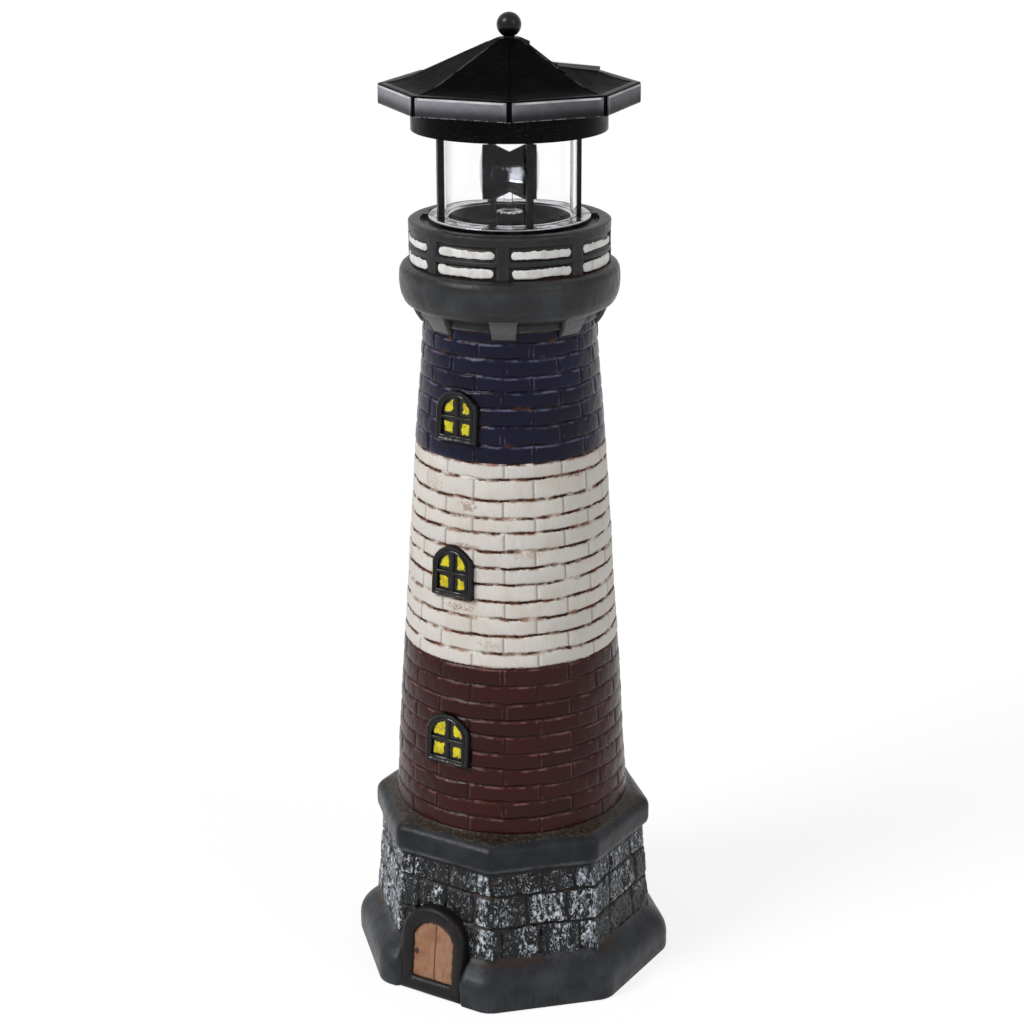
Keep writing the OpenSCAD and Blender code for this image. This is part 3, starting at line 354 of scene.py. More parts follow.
# The floor in grey and glow: lit by rays that bounce, and as it is seen
FLOOR_GREY = 0.8
FLOOR_SEEN_GREY = 0.22
FLOOR_GLOW = 0.83


def make_camera():
    """The photo's point of view."""
    data = bpy.data.cameras.new("camera")
    data.lens = LENS
    data.shift_x, data.shift_y = SHIFT
    camera = placed("camera", data)
    turn = (Matrix.Rotation(math.radians(CAMERA_AZIMUTH), 4, "Z")
            @ Matrix.Rotation(math.radians(90 - CAMERA_PITCH), 4, "X")
            @ Matrix.Rotation(math.radians(CAMERA_ROLL), 4, "Z"))
    place = polar(CAMERA_AZIMUTH, CAMERA_DISTANCE, CAMERA_HEIGHT) * MM
    camera.matrix_world = Matrix.Translation(place.tolist()) @ turn
    bpy.context.scene.camera = camera


def make_lamp(name, azimuth, elevation, strength, spread):
    """A soft far lamp that shines from an azimuth and an elevation."""
    data = bpy.data.lights.new(name, "SUN")
    data.energy = strength
    data.angle = math.radians(spread)
    placed(name, data).rotation_euler = (math.radians(90 - elevation), 0, math.radians(azimuth))


def make_world():
    """A white surround that lights the object less than it shows."""
    bpy.context.scene.view_settings.view_transform = "Standard"
    world = bpy.data.worlds.new("studio")
    bpy.context.scene.world = world
    nodes = Nodes(world)
    strength = nodes.between(nodes.seen(), WORLD_LIGHT, SEEN_LIGHT)
    background = nodes.node("Background", {"Strength": strength}).outputs[0]
    nodes.node("OutputWorld", {"Surface": background})


def make_floor():
    """A pale floor that reads as white but keeps the object's shadow."""
    look = Look("floor")
    base, thin = (look.node("BsdfDiffuse", {"Color": (grey, grey, grey, 1)}).outputs[0]
                  for grey in (FLOOR_GREY, FLOOR_SEEN_GREY))
    glow = look.node("Emission", {"Strength": FLOOR_GLOW}).outputs[0]
    shown = look.node("AddShader", {0: thin, 1: glow}).outputs[0]
    both = look.node("MixShader", {0: look.seen(), 1: base, 2: shown}).outputs[0]
    look.node("OutputMaterial", {"Surface": both})
    mesh = bpy.data.meshes.new("floor")
    side = FLOOR_HALF * MM
    mesh.from_pydata([(-side, -side, 0), (side, -side, 0), (side, side, 0), (-side, side, 0)], [], [(0, 1, 2, 3)])
    mesh.materials.append(look.material)
    placed("floor", mesh)


make_camera()
make_world()
for lamp, (azimuth, *rest) in LAMPS.items():
    make_lamp(lamp, CAMERA_AZIMUTH + azimuth, *rest)
make_floor()

# ---- painted tower

# Smudges on the white bricks: place and half size across the picture, height and half size up it, tint, strength
SMUDGES = ((-20.0, 6.0, 249.0, 3.2, (140, 96, 70), 0.7), (-36.0, 4.0, 256.0, 6.0, (176, 150, 126), 0.5),
           (31.0, 5.0, 262.0, 1.4, (112, 70, 52), 0.9), (-24.0, 9.0, 199.0, 2.2, (150, 112, 84), 0.7),
           (-36.5, 1.6, 212.0, 9.0, (206, 190, 74), 0.8), (-22.0, 8.0, 229.5, 1.6, (150, 118, 92), 0.7),
           (8.0, 9.0, 226.0, 2.0, (170, 140, 116), 0.5), (-10.0, 7.0, 182.0, 2.6, (172, 146, 124), 0.5))


def white_look():
    """Off-white paint with brush marks, rusty level joints, smudges and rust spots."""
    look = Look("painted_brick_white", (222, 217, 211), (212, 204, 193), 14, 0.4, 0.75)
    strokes = look.noise(0.55, 2.0, (1, 1, 0.1))
    look.coat((204, 200, 196), look.value("tone"), 0.5)
    look.coat((190, 183, 176), look.rise(strokes, 0.42, 0.66), 0.22)
    # soft grey line of an upright joint
    frayed = look.add(look.value("side"), look.ragged(1.2, 0.8))
    look.coat((158, 148, 142), look.rise(frayed, 0.75, 0.2), 0.75)
    # dark, broken line of a level joint with a rusty fringe
    edge = look.add(look.value("rise"), look.ragged(1.5, 1.5, 5.0, (1, 1, 2.0), 0.6))
    look.coat((148, 108, 86), look.rise(edge, 1.6, 0.5), look.patches(5, 0.4, 0.62, 4.0), 0.85)
    line = look.product(look.rise(edge, 0.8, 0.5), look.patches(9, 0.34, 0.54))
    look.coat(look.mottle((50, 29, 21), (96, 56, 38), 3, 0.45, 0.6), line)
    # smudges on the side that the camera sees
    x, depth, up = look.axes(CAMERA_AZIMUTH)
    front = look.rise(depth, 2, -4)
    for middle, wide, height, high, tint, strength in SMUDGES:
        across = look.math("DIVIDE", look.math("SUBTRACT", x, middle), wide)
        along = look.math("DIVIDE", look.math("SUBTRACT", up, height), high)
        off = look.node("CombineXYZ", {0: across, 1: along}).outputs[0]
        far = look.node("VectorMath", {0: off}, operation="LENGTH").outputs["Value"]
        far = look.add(far, look.ragged(2.2, 1.6, 4.0))
        look.coat(tint, front, look.rise(far, 1.0, 0.4), look.patches(1.2, 0.38, 0.6), strength)
    look.coat((132, 92, 70), look.patches(1.6, 0.7, 0.78), look.patches(16, 0.55, 0.75, 2.0))
    return look.finish(look.between(line, 0.62, 0.85), [(0.5, 0.08), (strokes, 0.1)], 0.2)


def gloss_look(name, base, bright, dark, glow, rust):
    """Glossy paint over brick, with stained joints and painted highlights along brick tops and upright joints."""
    look = Look(name, base, bright, 17, 0.42, 0.72)
    rise, side, highlight_lip, tone = map(look.value, ("rise", "side", "highlight_lip", "tone"))
    look.coat(dark, tone, 0.4)
    look.coat(dark, look.patches(0.8, 0.5, 0.8, 3.0, (1, 1, 0.25)), 0.4)
    # painted highlight along the top edge of each brick, in the glow tint
    look.coat(glow, look.rise(highlight_lip, 0.05, 1.0), look.patches(6, 0.42, 0.68), 0.75)
    # painted highlight beside each upright joint
    look.coat(glow, look.rise(look.off(side, 1.1), 0.4, 0.1), look.patches(6, 0.44, 0.6), 0.4)
    look.coat(dark, look.rise(look.math("MINIMUM", rise, side), 0.6, 0.1), 0.75)
    look.coat(rust, look.rise(rise, 1.6, 0.3), look.patches(7, 0.58, 0.7))
    return look.finish((2.2, 0.16, 0.4), [(4.5, 0.4, 2.0), (0.9, 0.08)], 0.15)


# Rows of points of a course, as distances from its joint
ROW_OFFSETS = (0.0, 0.35, 0.7, 1.1, 1.7)
COLUMNS = 720
BRICK_TURN = 36.0
BRICKS_ROUND = 10
# Radius at which the joints' ripples are measured
BRICK_RADIUS = 50.0
# Widths of a joint's groove and of the rounding beside it, and how far its level line wanders
GROOVE = 0.75
ROUNDING = 0.9
WANDER = 0.45
# Azimuth from the camera's of an upright joint, in every other course
ROW_START = (-4.0, 14.0)
# What a joint carries for the distance to an upright joint
NO_UPRIGHT = 6.0


def brick_band(name, look, low, high, heights, seed):
    """A band of brick in relief. heights are its courses from the top down."""
    azimuths = ring(COLUMNS)
    local = azimuths - CAMERA_AZIMUTH
    joints = high - np.concatenate([[0], np.cumsum(heights)]) * (high - low) / sum(heights)
    around = polar(azimuths, BRICK_RADIUS, 0.0)

    def wobble(k):
        edge = 0.0 if k in (0, len(heights)) else WANDER
        return edge * (ripple(around, 14, seed + 31 * k) + 0.6 * ripple(around, 5, seed + 31 * k + 7))

    rows = []
    for k, (top, foot) in enumerate(zip(joints, joints[1:])):
        turned = (local - ROW_START[k % 2]) / BRICK_TURN
        brick = np.floor(turned + 0.5).astype(int)
        shift = 1.4 * (hashed(brick % BRICKS_ROUND, k, seed) - 0.5)
        gap = np.abs((turned - brick) * BRICK_TURN - shift)
        number = np.floor(turned - shift / BRICK_TURN).astype(int) % BRICKS_ROUND
        proud = hashed(number, k, seed + 3)
        fall = top - foot
        offsets = [(-o, o) for o in ROW_OFFSETS] + [(-fall / 2, fall / 2)]
        offsets += [(o - fall, o) for o in ROW_OFFSETS[:0:-1]]
        for down, near in offsets:
            share = -down / fall
            z = top + down + wobble(k) * (1 - share) + wobble(k + 1) * share
            side = np.radians(gap) * tower_radius(z)
            in_joint = near < 0.5
            level = hump(near, GROOVE) * (0.75 + 0.25 * ripple(around, 6, seed + k))
            upright = hump(side, GROOVE) * 0.85
            round_off = 0.22 * np.exp(-near / ROUNDING) + 0.16 * np.exp(-side / ROUNDING)
            face = 0.0 if in_joint else 0.34 * (proud - 0.5)
            depth = np.maximum(level * 0.8, 0 if in_joint else upright * 0.55) + round_off - face
            # the top edge of the brick under a joint, where gloss_look paints a highlight
            highlight_lip = float(share < 0.5 and 0.6 < near < 1.3)
            rows.append((z, near, NO_UPRIGHT if in_joint else side, highlight_lip, 0.0 if in_joint else proud, depth))
    rows.append((low, 0.0, NO_UPRIGHT, 0.0, 0.0, 0.8))
    z, rise, side, highlight_lip, tone, depth = (np.array([np.broadcast_to(value, COLUMNS) for value in column])[::-1]
                                       for column in zip(*rows))
    points = polar(azimuths, tower_radius(z), z)
    surface = 0.16 * ripple(points, 7, seed) + 0.1 * ripple(points, 2.4, seed + 1)
    points = polar(azimuths, tower_radius(z) - depth * 0.9 + surface, z)
    make_grid(name, points, look, {"rise": rise, "side": side, "highlight_lip": highlight_lip, "tone": tone})


WHITE_COURSES = (7.5, 9.9, 8.8, 7.5, 8.6, 8.1, 8.1, 8.5, 8.2, 8.5, 8.7, 7.6)
BLUE_COURSES = (5.5, 7.5, 7.5, 7.5, 7.6, 8.2, 8.7, 8.5)
RED_COURSES = (8.5, 9.0, 8.5, 8.0, 8.5, 7.8, 8.6, 8.4, 8.2, 8.5)

blue_paint = gloss_look("painted_brick_navy",
                        (19, 18, 42), (24, 22, 54), (9, 8, 18), (104, 102, 130), (84, 50, 30))
red_paint = gloss_look("painted_brick_maroon",
                       (56, 20, 19), (60, 18, 20), (30, 12, 10), (122, 84, 80), (44, 26, 16))
brick_band("tower_blue_bricks", blue_paint, BLUE_FOOT, NECK_FOOT + 1, BLUE_COURSES, 11)
brick_band("tower_white_bricks", white_look(), WHITE_FOOT, BLUE_FOOT, WHITE_COURSES, 23)
brick_band("tower_red_bricks", red_paint, TOWER_FOOT - 1, WHITE_FOOT, RED_COURSES, 41)

# ---- surfaces of the tower


def blurred(field, down, across):
    """The field averaged over rows and columns either way; its columns wrap round."""
    last = len(field) - 1
    field = np.mean([field[np.clip(np.arange(last + 1) + k, 0, last)] for k in range(-down, down + 1)], axis=0)
    return np.mean([np.roll(field, k, 1) for k in range(-across, across + 1)], axis=0)


def octagon(azimuths, half, corner):
    """Radius at each azimuth of an octagon half wide across its flats, its corners rounded to a radius."""
    eighth = math.radians(EIGHTH)
    off = np.abs(np.radians((azimuths + EIGHTH) % (2 * EIGHTH) - EIGHTH))
    centre = (half - corner) / math.cos(eighth)
    inside = np.maximum(corner ** 2 - (centre * np.sin(eighth - off)) ** 2, 0)
    limit = np.arctan((half - corner) * math.tan(eighth) / half)
    return np.where(off > limit, centre * np.cos(eighth - off) + np.sqrt(inside), half / np.cos(off))


def turn_from(azimuths, middle):
    """Signed degrees from a middle azimuth, -180 to 180."""
    return (azimuths - middle + 180.0) % 360.0 - 180.0


def resampled(profile, step):
    """A half profile with extra points, so that none is further than step mm from the next."""
    points = [np.asarray(profile[0], float)]
    for start, end in zip(profile, profile[1:]):
        start, end = np.asarray(start, float), np.asarray(end, float)
        count = max(1, math.ceil(np.linalg.norm((end - start)[:2]) / step))
        points.extend(start + (end - start) * k / count for k in range(1, count + 1))
    return np.array(points)


# Slate paint's relief: size and depth of its grain and of its dents
SLATE_RELIEF = [(0.8, 0.07), (3.5, 0.2)]


def slate_look(name, base, light, dark, rub_and_highlight, rust, streaked):
    """Satin slate paint: mottled, rusty in creases, painted highlight on its crests and painted shade in its
    hollows.
    """
    look = Look(name, base, light, 12.0, 0.35, 0.75)
    look.coat(dark, look.patches(1.44, 0.52, 0.8), 0.35)
    look.coat(dark, look.patches(1.3, 0.5, 0.75, 3.0, (1, 1, 0.1)), streaked)
    crest = look.value("crest")
    rough = look.ragged(1.4, 0.5, 4.0)
    # paler on the crests: partly rubbed paint, partly painted highlight
    look.coat(rub_and_highlight, look.rise(look.add(crest, rough), 0.08, 0.5), look.patches(10, 0.3, 0.65, 2.0), 0.6)
    # darker in the hollows: painted shade
    look.coat(dark, look.rise(look.add(crest, look.product(rough, 0.5)), -0.04, -0.4), 0.6)
    look.coat(rust, look.rise(look.add(look.value("stain"), look.ragged(3.2, 1.4, 4.0)), 0.45, 1.0), 0.8)
    return look


PLINTH_COLUMNS = 832

# The skirt: half width across the flats and height, from the foot up
SKIRT_PROFILE = ((73.4, 0.0), (74.5, 0.5), (75.0, 1.5), (75.2, 3.4), (75.2, 9.0), (75.0, 11.3), (74.5, 13.4),
                 (73.6, 15.3), (72.2, 17.2), (70.5, 18.9), (68.8, 20.4), (67.3, 21.7), (66.1, 23.2), (65.3, 25.0))
DRAIN_RADIUS = 3.0
FLOOR_THICK = 2.4


def make_skirt():
    """The flared foot of the plinth, with the underside of its floor."""
    azimuths = ring(PLINTH_COLUMNS)
    profile = resampled(SKIRT_PROFILE, 0.7)
    radius = np.array([octagon(azimuths, half, 12.0 + 0.2 * z) for half, z in profile])
    z = np.broadcast_to(profile[:, 1:], radius.shape)
    points = polar(azimuths, radius, z)
    radius = radius + dents(points, (0.3, 16, 5), (0.12, 5, 6)) * smooth(z, 0.2, 2.0)
    # behind the door's surround the skirt steps back, so that the surround runs to the ground
    inside = DOOR_WIDE / 2 - np.abs(points[..., 0] - DOOR_MIDDLE)
    step = 1.8 * smooth(inside, -1.6, 0.4) + 3.4 * smooth(inside, 1.0, 2.6)
    radius = radius - step * (points[..., 1] < 0)
    crease = smooth(z, 17.0, 22.5)
    patchy = smooth(ripple(points, 11, 9), -0.5, 0.5)
    # the drain hole's wall and, out from it, the floor's underside
    drain = np.zeros((2, PLINTH_COLUMNS))
    radius = np.vstack([drain + DRAIN_RADIUS, radius])
    z = np.vstack([drain + [[FLOOR_THICK], [0.0]], z])
    # crest: pale and dark patches over the shoulder, which slate_look paints as painted highlight and painted
    # shade
    values = {"crest": np.vstack([drain, 0.5 * crease * (0.5 - patchy)]),
              "stain": np.vstack([drain, 0.95 * crease * (0.45 + 0.55 * patchy)])}
    look = slate_look("painted_skirt", (33, 35, 39), (52, 55, 60), (21, 22, 24), (88, 91, 95), (46, 27, 18), 0.5)
    make_grid("plinth_skirt", polar(azimuths, radius, z), look.finish((3, 0.3, 0.52), SLATE_RELIEF, 0.22), values)


# The ledge: half width across the flats and height; further up it turns into the tower's round foot
LEDGE_PROFILE = ((60.5, 69.3), (62.6, 69.3), (63.9, 69.8), (64.7, 70.7), (65.15, 72.0), (65.3, 73.6), (65.3, 78.4),
                 (65.1, 80.2), (64.5, 81.7), (63.5, 82.9), (62.2, 83.8), (60.8, 84.5))
LEDGE_CORNER = 6.0
# Share of the way from the eight-sided edge to the round foot, and height
LEDGE_ROUND = ((0.3, 84.9), (0.55, 85.4), (0.8, 86.1), (1.0, 87.2))
LEDGE_ROUND_RADIUS = 57.0


def ledge_look():
    """Slate paint with grit and a ring of dirt round the tower's foot."""
    look = slate_look("painted_ledge",
                      (24, 26, 30), (38, 41, 47), (15, 16, 18), (100, 104, 108), (46, 36, 27), 0.1)
    stain = look.value("stain")
    grit = look.patches(1.5, 0.46, 0.6, 5.0, (1, 1, 1), 0.65)
    look.coat((80, 72, 60), look.rise(stain, 0.3, 0.8), grit, 0.6)
    look.coat((34, 22, 16), look.rise(stain, 0.85, 1.08), look.patches(2.2, 0.4, 0.6, 4.0), 0.8)
    grain = look.product(look.noise(1.5, 5.0), stain)
    return look.finish((3, 0.26, 0.48), [*SLATE_RELIEF, (grain, 0.3)], 0.2)


def make_ledge():
    """The fat ledge over the stone wall."""
    azimuths = ring(PLINTH_COLUMNS)
    profile = resampled(LEDGE_PROFILE, 0.6)
    edge = octagon(azimuths, LEDGE_PROFILE[-1][0], LEDGE_CORNER)
    radius = np.array([octagon(azimuths, half, LEDGE_CORNER) for half, _ in profile]
                      + [edge + (LEDGE_ROUND_RADIUS - edge) * share for share, _ in LEDGE_ROUND])
    z = np.array([*profile[:, 1], *(z for _, z in LEDGE_ROUND)])[:, None] + 0 * radius
    points = polar(azimuths, radius, z)
    radius = radius + dents(points, (0.25, 15, 15), (0.1, 4.5, 16))
    lower = hump(z - 71.4, 1.4)
    upper = hump(z - 82.4, 1.5)
    # pale bands along the ledge's rounded edges: painted highlight
    edge_highlight = 0.42 * lower + 0.22 * upper * smooth(ripple(points, 18, 17), -0.3, 0.6)
    top = smooth(z + 0.7 * ripple(points, 9, 18), 82.6, 85.0)
    stain = np.maximum(1.1 * top, 0.8 * smooth(z, 70.2, 69.3))
    make_grid("plinth_ledge", polar(azimuths, radius, z), ledge_look(), {"crest": edge_highlight, "stain": stain})


# The stone wall: height of each level joint, and azimuths of the upright ones of each course from the top down
STONE_JOINTS = (56.6, 40.4)
STONE_UPRIGHTS = (
    (-17, 1, 23, 45, 60, 82, 101, 121, 140, 161, 181, 201, 222, 240, 262, 281, 300, 322),
    (0, 14, 38, 56, 80, 93, 104, 124, 147, 166, 188, 207, 229, 248, 268, 290, 309, 331, 346),
    (27, 44, 61, 79, 100, 118, 139, 158, 180, 199, 218, 240, 259, 281, 300, 322, 341))
# Patches of pale dry paint: course, first and last azimuth, and strength
DRY_PATCHES = ((0, 14, 22, 1.0), (0, 60, 67, 0.95), (0, 26, 58, 0.35), (0, 68, 98, 0.7), (1, -7, -2, 0.9),
               (1, 16, 21, 0.95), (1, 25, 30, 0.7), (1, 40, 54, 1.0), (1, 57, 69, 0.95), (1, 70, 100, 0.6),
               (2, 17, 23, 0.9), (2, 34, 42, 0.95), (2, 49, 58, 0.7), (2, 61, 67, 0.95), (0, -24, -14, 0.6))
WALL_ROWS = 98
WALL_LOW = 21.0
WALL_HIGH = 70.2
WALL_CORNER = 2.6
# Further than anything that is measured with it
FAR = 99.0
# Degrees that a stone may reach past its first joint
STONE_WIDEST = 30


def stone_look():
    """Near-black paint, ragged pale dry flakes and strokes, dark mortar, painted shade in hollows and under the
    ledge.
    """
    look = Look("painted_stone", (21, 22, 23), (36, 38, 38), 7, 0.38, 0.7)
    gap, crest, dry, shadow = map(look.value, ("joint", "crest", "brush", "shade"))
    look.coat((22, 22, 21), look.value("tone"), 0.35)
    # darker in the hollows: painted shade
    look.coat((11, 10, 10), look.rise(crest, -0.1, -0.6))
    flakes = look.noise(2.1, 5.0, (1, 1, 0.4), 0.62, 1.4)
    ridge = look.off(look.noise(3.2, 3.0, (1, 1, 0.5), 0.5, 1.6), 0.5)
    lifted = look.add(look.add(flakes, look.product(crest, 0.16)), look.product(dry, 0.15))
    strokes = look.rise(look.math("SUBTRACT", look.product(dry, 0.03), ridge), -0.022, 0.004)
    pale = look.math("MAXIMUM", look.rise(lifted, 0.68, 0.72), look.product(strokes, look.rise(flakes, 0.42, 0.5)))
    pale = look.product(pale, look.rise(gap, 0.4, 0.9), look.rise(shadow, 0.7, 0.1))
    look.coat(look.mottle((128, 136, 145), (214, 219, 226), 2.4, 0.4, 0.62, 4.0), pale)
    frayed = look.add(gap, look.ragged(1.1, 1.0))
    look.coat(look.mottle((15, 13, 12), (50, 29, 18), 5, 0.52, 0.7), look.rise(frayed, 1.0, 0.45))
    look.coat((24, 22, 21), shadow, 0.55)
    return look.finish(look.between(pale, 0.36, 0.7), [(pale, 0.12), (1.5, 0.4, 4.0, (1, 1, 0.6))], 0.2)


def make_wall():
    """The eight-sided wall of rough stones."""
    azimuths = ring(PLINTH_COLUMNS)
    z = np.linspace(WALL_LOW, WALL_HIGH, WALL_ROWS)[:, None] + 0 * azimuths
    radius = octagon(azimuths, wall_half(z), WALL_CORNER)
    points = polar(azimuths, radius, z)
    levels = [height + 0.9 * ripple(points, 12, k) + 0.5 * ripple(points, 4, k + 5)
              for k, height in enumerate(STONE_JOINTS)]
    course = sum((z < level).astype(int) for level in levels)
    near = np.min([np.abs(z - level) for level in levels], axis=0)
    upright = np.full(z.shape, FAR)
    stone = np.zeros(z.shape)
    for k, joints in enumerate(STONE_UPRIGHTS):
        inside = course == k
        for number, joint in enumerate(joints):
            turn = turn_from(azimuths, joint + 1.1 * ripple(points, 7, 3 * number + k))
            upright = np.where(inside, np.minimum(upright, np.abs(np.radians(turn) * radius)), upright)
            stone = np.where(inside & (turn > 0) & (turn < STONE_WIDEST), number + 1, stone)
    proud = hashed(stone.astype(int), course, 77)
    joint = np.minimum(near, upright * 1.15)
    groove = np.minimum(1.25 * hump(near, 0.8) + 0.75 * hump(upright, 0.75), 1.3)
    chips = 0.55 * ripple(points, 6, 21) + 0.42 * ripple(points * (1, 1, 0.7), 2.8, 22)
    chips = chips + 0.26 * ripple(points, 1.4, 23)
    radius = radius + 0.5 * (proud - 0.5) + chips * smooth(joint, 0.0, 1.4) - groove - 0.25
    local = turn_from(azimuths, 0.0)
    brush = 0.75 * smooth(ripple(points, 10, 31), -0.1, 0.5) * ((local < -20) | (local > 100))
    brush = brush + 0.5 * (local < -22)
    for k, first, last, strength in DRY_PATCHES:
        span = smooth(local, first - 1.5, first + 1) * smooth(local, last + 1.5, last - 1)
        brush = np.maximum(brush, strength * span * (course == k))
    shade = smooth(z, 66.0, 69.6)
    brush = np.clip(brush, 0, 1) * (1 - shade) * smooth(z, 23.5, 27.5)
    crest = radius - blurred(radius, 5, 6)
    values = {"joint": joint, "crest": crest, "brush": brush, "shade": shade, "tone": proud}
    make_grid("plinth_stone_wall", polar(azimuths, radius, z), stone_look(), values, smooth_angle=80)


# ---- gallery

BALUSTER_AZIMUTH = 27.5
BALUSTERS = 8
BALUSTER_STEP = 45.0
BALUSTER_HALF = 3.1
# Radius at which distances along the rail are measured
RAIL_MIDDLE = 47.0
CORBEL_HALF = 6.3
# Brackets and the bulge over them: height and radius
CORBEL_PROFILE = ((327.5, 41.4), (328.4, 42.5), (331.5, 44.6), (335.0, 46.2), (338.5, 47.2), (341.0, 47.6))
CORBEL_TOP = 341
BULGE_PROFILE = ((330.6, 40.6), (331.3, 41.9), (332.0, 42.4), (335.2, 42.5), (336.0, 44.6), (336.7, 46.8),
                 (338.0, 49.0), (339.6, 50.2), (342.5, 51.5), (345.4, 52.0), (348.3, 52.2), (351.2, 52.1),
                 (353.6, 51.8), (355.4, 50.9), (356.5, 49.4), (356.9, 47.4))
BULGE_RADIUS = 52.2
# Heights between which the brackets are painted paler, as painted light
BRACKET_LOW = 328.2
BRACKET_HIGH = 338.4
PANEL_RADIUS = 46.3
RAIL_RADIUS = 47.5
RAIL_COLUMNS = 800
# Rows of points: from a height up to the next, and the step
RAIL_ROWS = ((327.5, 336.0, 0.5), (336.0, 340.0, 0.35), (340.0, 355.0, 0.8), (355.0, 376.3, 0.36))
RAIL_LOW = 356.7
MID_RAIL = 364.1
TOP_RAIL = 371.9
EDGE_ROUND = 376.2
# Painted bars: their heights, and half of how thick they are
BARS = ((359.8, 2.15), (368.4, 1.75))
NO_DASH = -3.0
# The rim and the mouth: radius and height; its first rows are dented
RIM_PROFILE = ((46.9, 376.75), (46.2, 377.05), (45.0, 377.15), (43.2, 377.1), (42.2, 377.0), (41.75, 376.7),
               (41.6, 376.2), (41.6, 373.4))
RIM_DENTED = 5


def ramp(distance, soft=0.45):
    """1 inside (negative distance), 0 outside, with a soft step."""
    return smooth(-distance, -soft, soft)


def gallery_look():
    """Slate paint: a darker rail, rusty creases, white bars, painted shade under the rail, painted light on
    brackets.
    """
    look = slate_look("painted_gallery",
                      (42, 43, 45), (58, 60, 62), (23, 24, 25), (104, 106, 106), (66, 36, 21), 0.1)
    up = look.axes(CAMERA_AZIMUTH)[2]
    look.coat((24, 25, 26), look.rise(up, 353.5, 357.5), 0.5)
    # painted shade in the crease between the bulge and the rail
    look.coat((20, 18, 17), look.span(up, 351.0, 354.0, 356.0, 357.2), 0.5)
    white = look.mottle((232, 231, 229), (208, 205, 200), 5, 0.4, 0.7)
    specks = look.product(look.patches(1.1, 0.68, 0.74), look.patches(9, 0.52, 0.65, 2.0))
    white = look.mix(specks, white, (120, 66, 38))
    edge = look.add(look.value("dash"), look.ragged(2.6, 1.6, 4.0))
    look.coat((70, 46, 34), look.rise(edge, -0.75, -0.1), look.patches(4, 0.45, 0.6), 0.7)
    # brackets painted paler: painted light on their faces under the bulge
    look.coat((104, 106, 104), look.value("bracket"), look.between(look.noise(3), 0.5, 0.95))
    look.coat(white, look.rise(edge, 0.0, 0.14))
    return look.finish((3, 0.26, 0.48), SLATE_RELIEF, 0.22)


def make_gallery():
    """Brackets, bulge, railing in relief, and the mouth for the lamp head."""
    azimuths = ring(RAIL_COLUMNS)
    z = np.concatenate([np.arange(*rows) for rows in RAIL_ROWS])[:, None] + 0 * azimuths
    turn = azimuths - BALUSTER_AZIMUTH + BALUSTER_STEP / 2
    number = np.floor(turn / BALUSTER_STEP).astype(int) % BALUSTERS
    across = np.abs(np.radians(turn % BALUSTER_STEP - BALUSTER_STEP / 2)) * RAIL_MIDDLE
    base = np.interp(z, *zip(*BULGE_PROFILE))
    corbel = np.interp(z, *zip(*CORBEL_PROFILE)) * (z < CORBEL_TOP)
    beside = across - (CORBEL_HALF + 0.35 * smooth(z, 328, 337) + 0.3 * (hashed(number, 5) - 0.5))
    radius = np.where(z < CORBEL_TOP, np.maximum(base, base + (corbel - base) * ramp(beside, 0.3)), base)
    points = polar(azimuths, RAIL_MIDDLE, z)
    wave = ripple(points, 9, 51)
    raised = np.max([ramp(across - BALUSTER_HALF - 0.25 * wave), ramp(np.abs(z - MID_RAIL - 0.2 * wave) - 1.15),
                     ramp(TOP_RAIL + 0.25 * wave - z)], axis=0)
    panel = PANEL_RADIUS + (RAIL_RADIUS - PANEL_RADIUS) * raised
    dash = np.full(z.shape, NO_DASH)
    for k, (middle, half) in enumerate(BARS):
        start = BALUSTER_HALF + 0.7 + 1.0 * (hashed(number, k, 3) - 0.5)
        thick = half + 0.45 * ripple(points, 12, 60 + k) + 0.1 * ripple(points, 5, 66 + k)
        level = middle + 0.5 * ripple(points, 13, 63 + k)
        end = np.clip(thick - (across - start), 0, None)
        dash = np.maximum(dash, thick - np.hypot(z - level, end))
    bar = PANEL_RADIUS + 0.75 * smooth(dash, -0.7, 0.5)
    rail = z > RAIL_LOW
    radius = np.where(rail, np.maximum(panel, bar), radius)
    radius = radius - (1 - np.sqrt(np.clip(1 - (z - EDGE_ROUND) ** 2, 0, 1))) * (z > EDGE_ROUND)
    radius = radius + 0.16 * (ripple(points, 10, 55) - 0.6) + 0.07 * ripple(points, 2.5, 56)
    radius = np.minimum(radius, BULGE_RADIUS)
    # crest: raised relief and the rim's top, which slate_look paints paler, partly as painted highlight
    crest = radius - blurred(radius, 3, 4) + 0.35 * hump(z - 376.0, 0.9)
    stain = np.max([1.1 * hump(z - 357.0, 0.8) * smooth(wave, -0.7, 0.4),
                    0.9 * hump(z - 362.7, 0.6) * (across > BALUSTER_HALF),
                    1.1 * hump(z - 331.2, 0.7), 0.75 * hump(beside, 0.5) * (z < 337)], axis=0)
    # the brackets' faces, painted paler as painted light
    bracket = ramp(beside, 0.3) * (z < BRACKET_HIGH) * (z > BRACKET_LOW)
    rim = spun(RIM_PROFILE, azimuths)
    rim[:RIM_DENTED, :, 2] += dents(rim[:RIM_DENTED], (0.1, 6, 58))
    blank = 0 * rim[..., 2]
    values = {"crest": np.vstack([crest, blank + 0.22]), "stain": np.vstack([stain, blank]),
              "bracket": np.vstack([bracket, blank]),
              "dash": np.vstack([np.where(rail, dash, NO_DASH), blank + NO_DASH])}
    points = np.concatenate([polar(azimuths, radius, z), rim])
    make_grid("gallery", points, gallery_look(), values, smooth_angle=50)


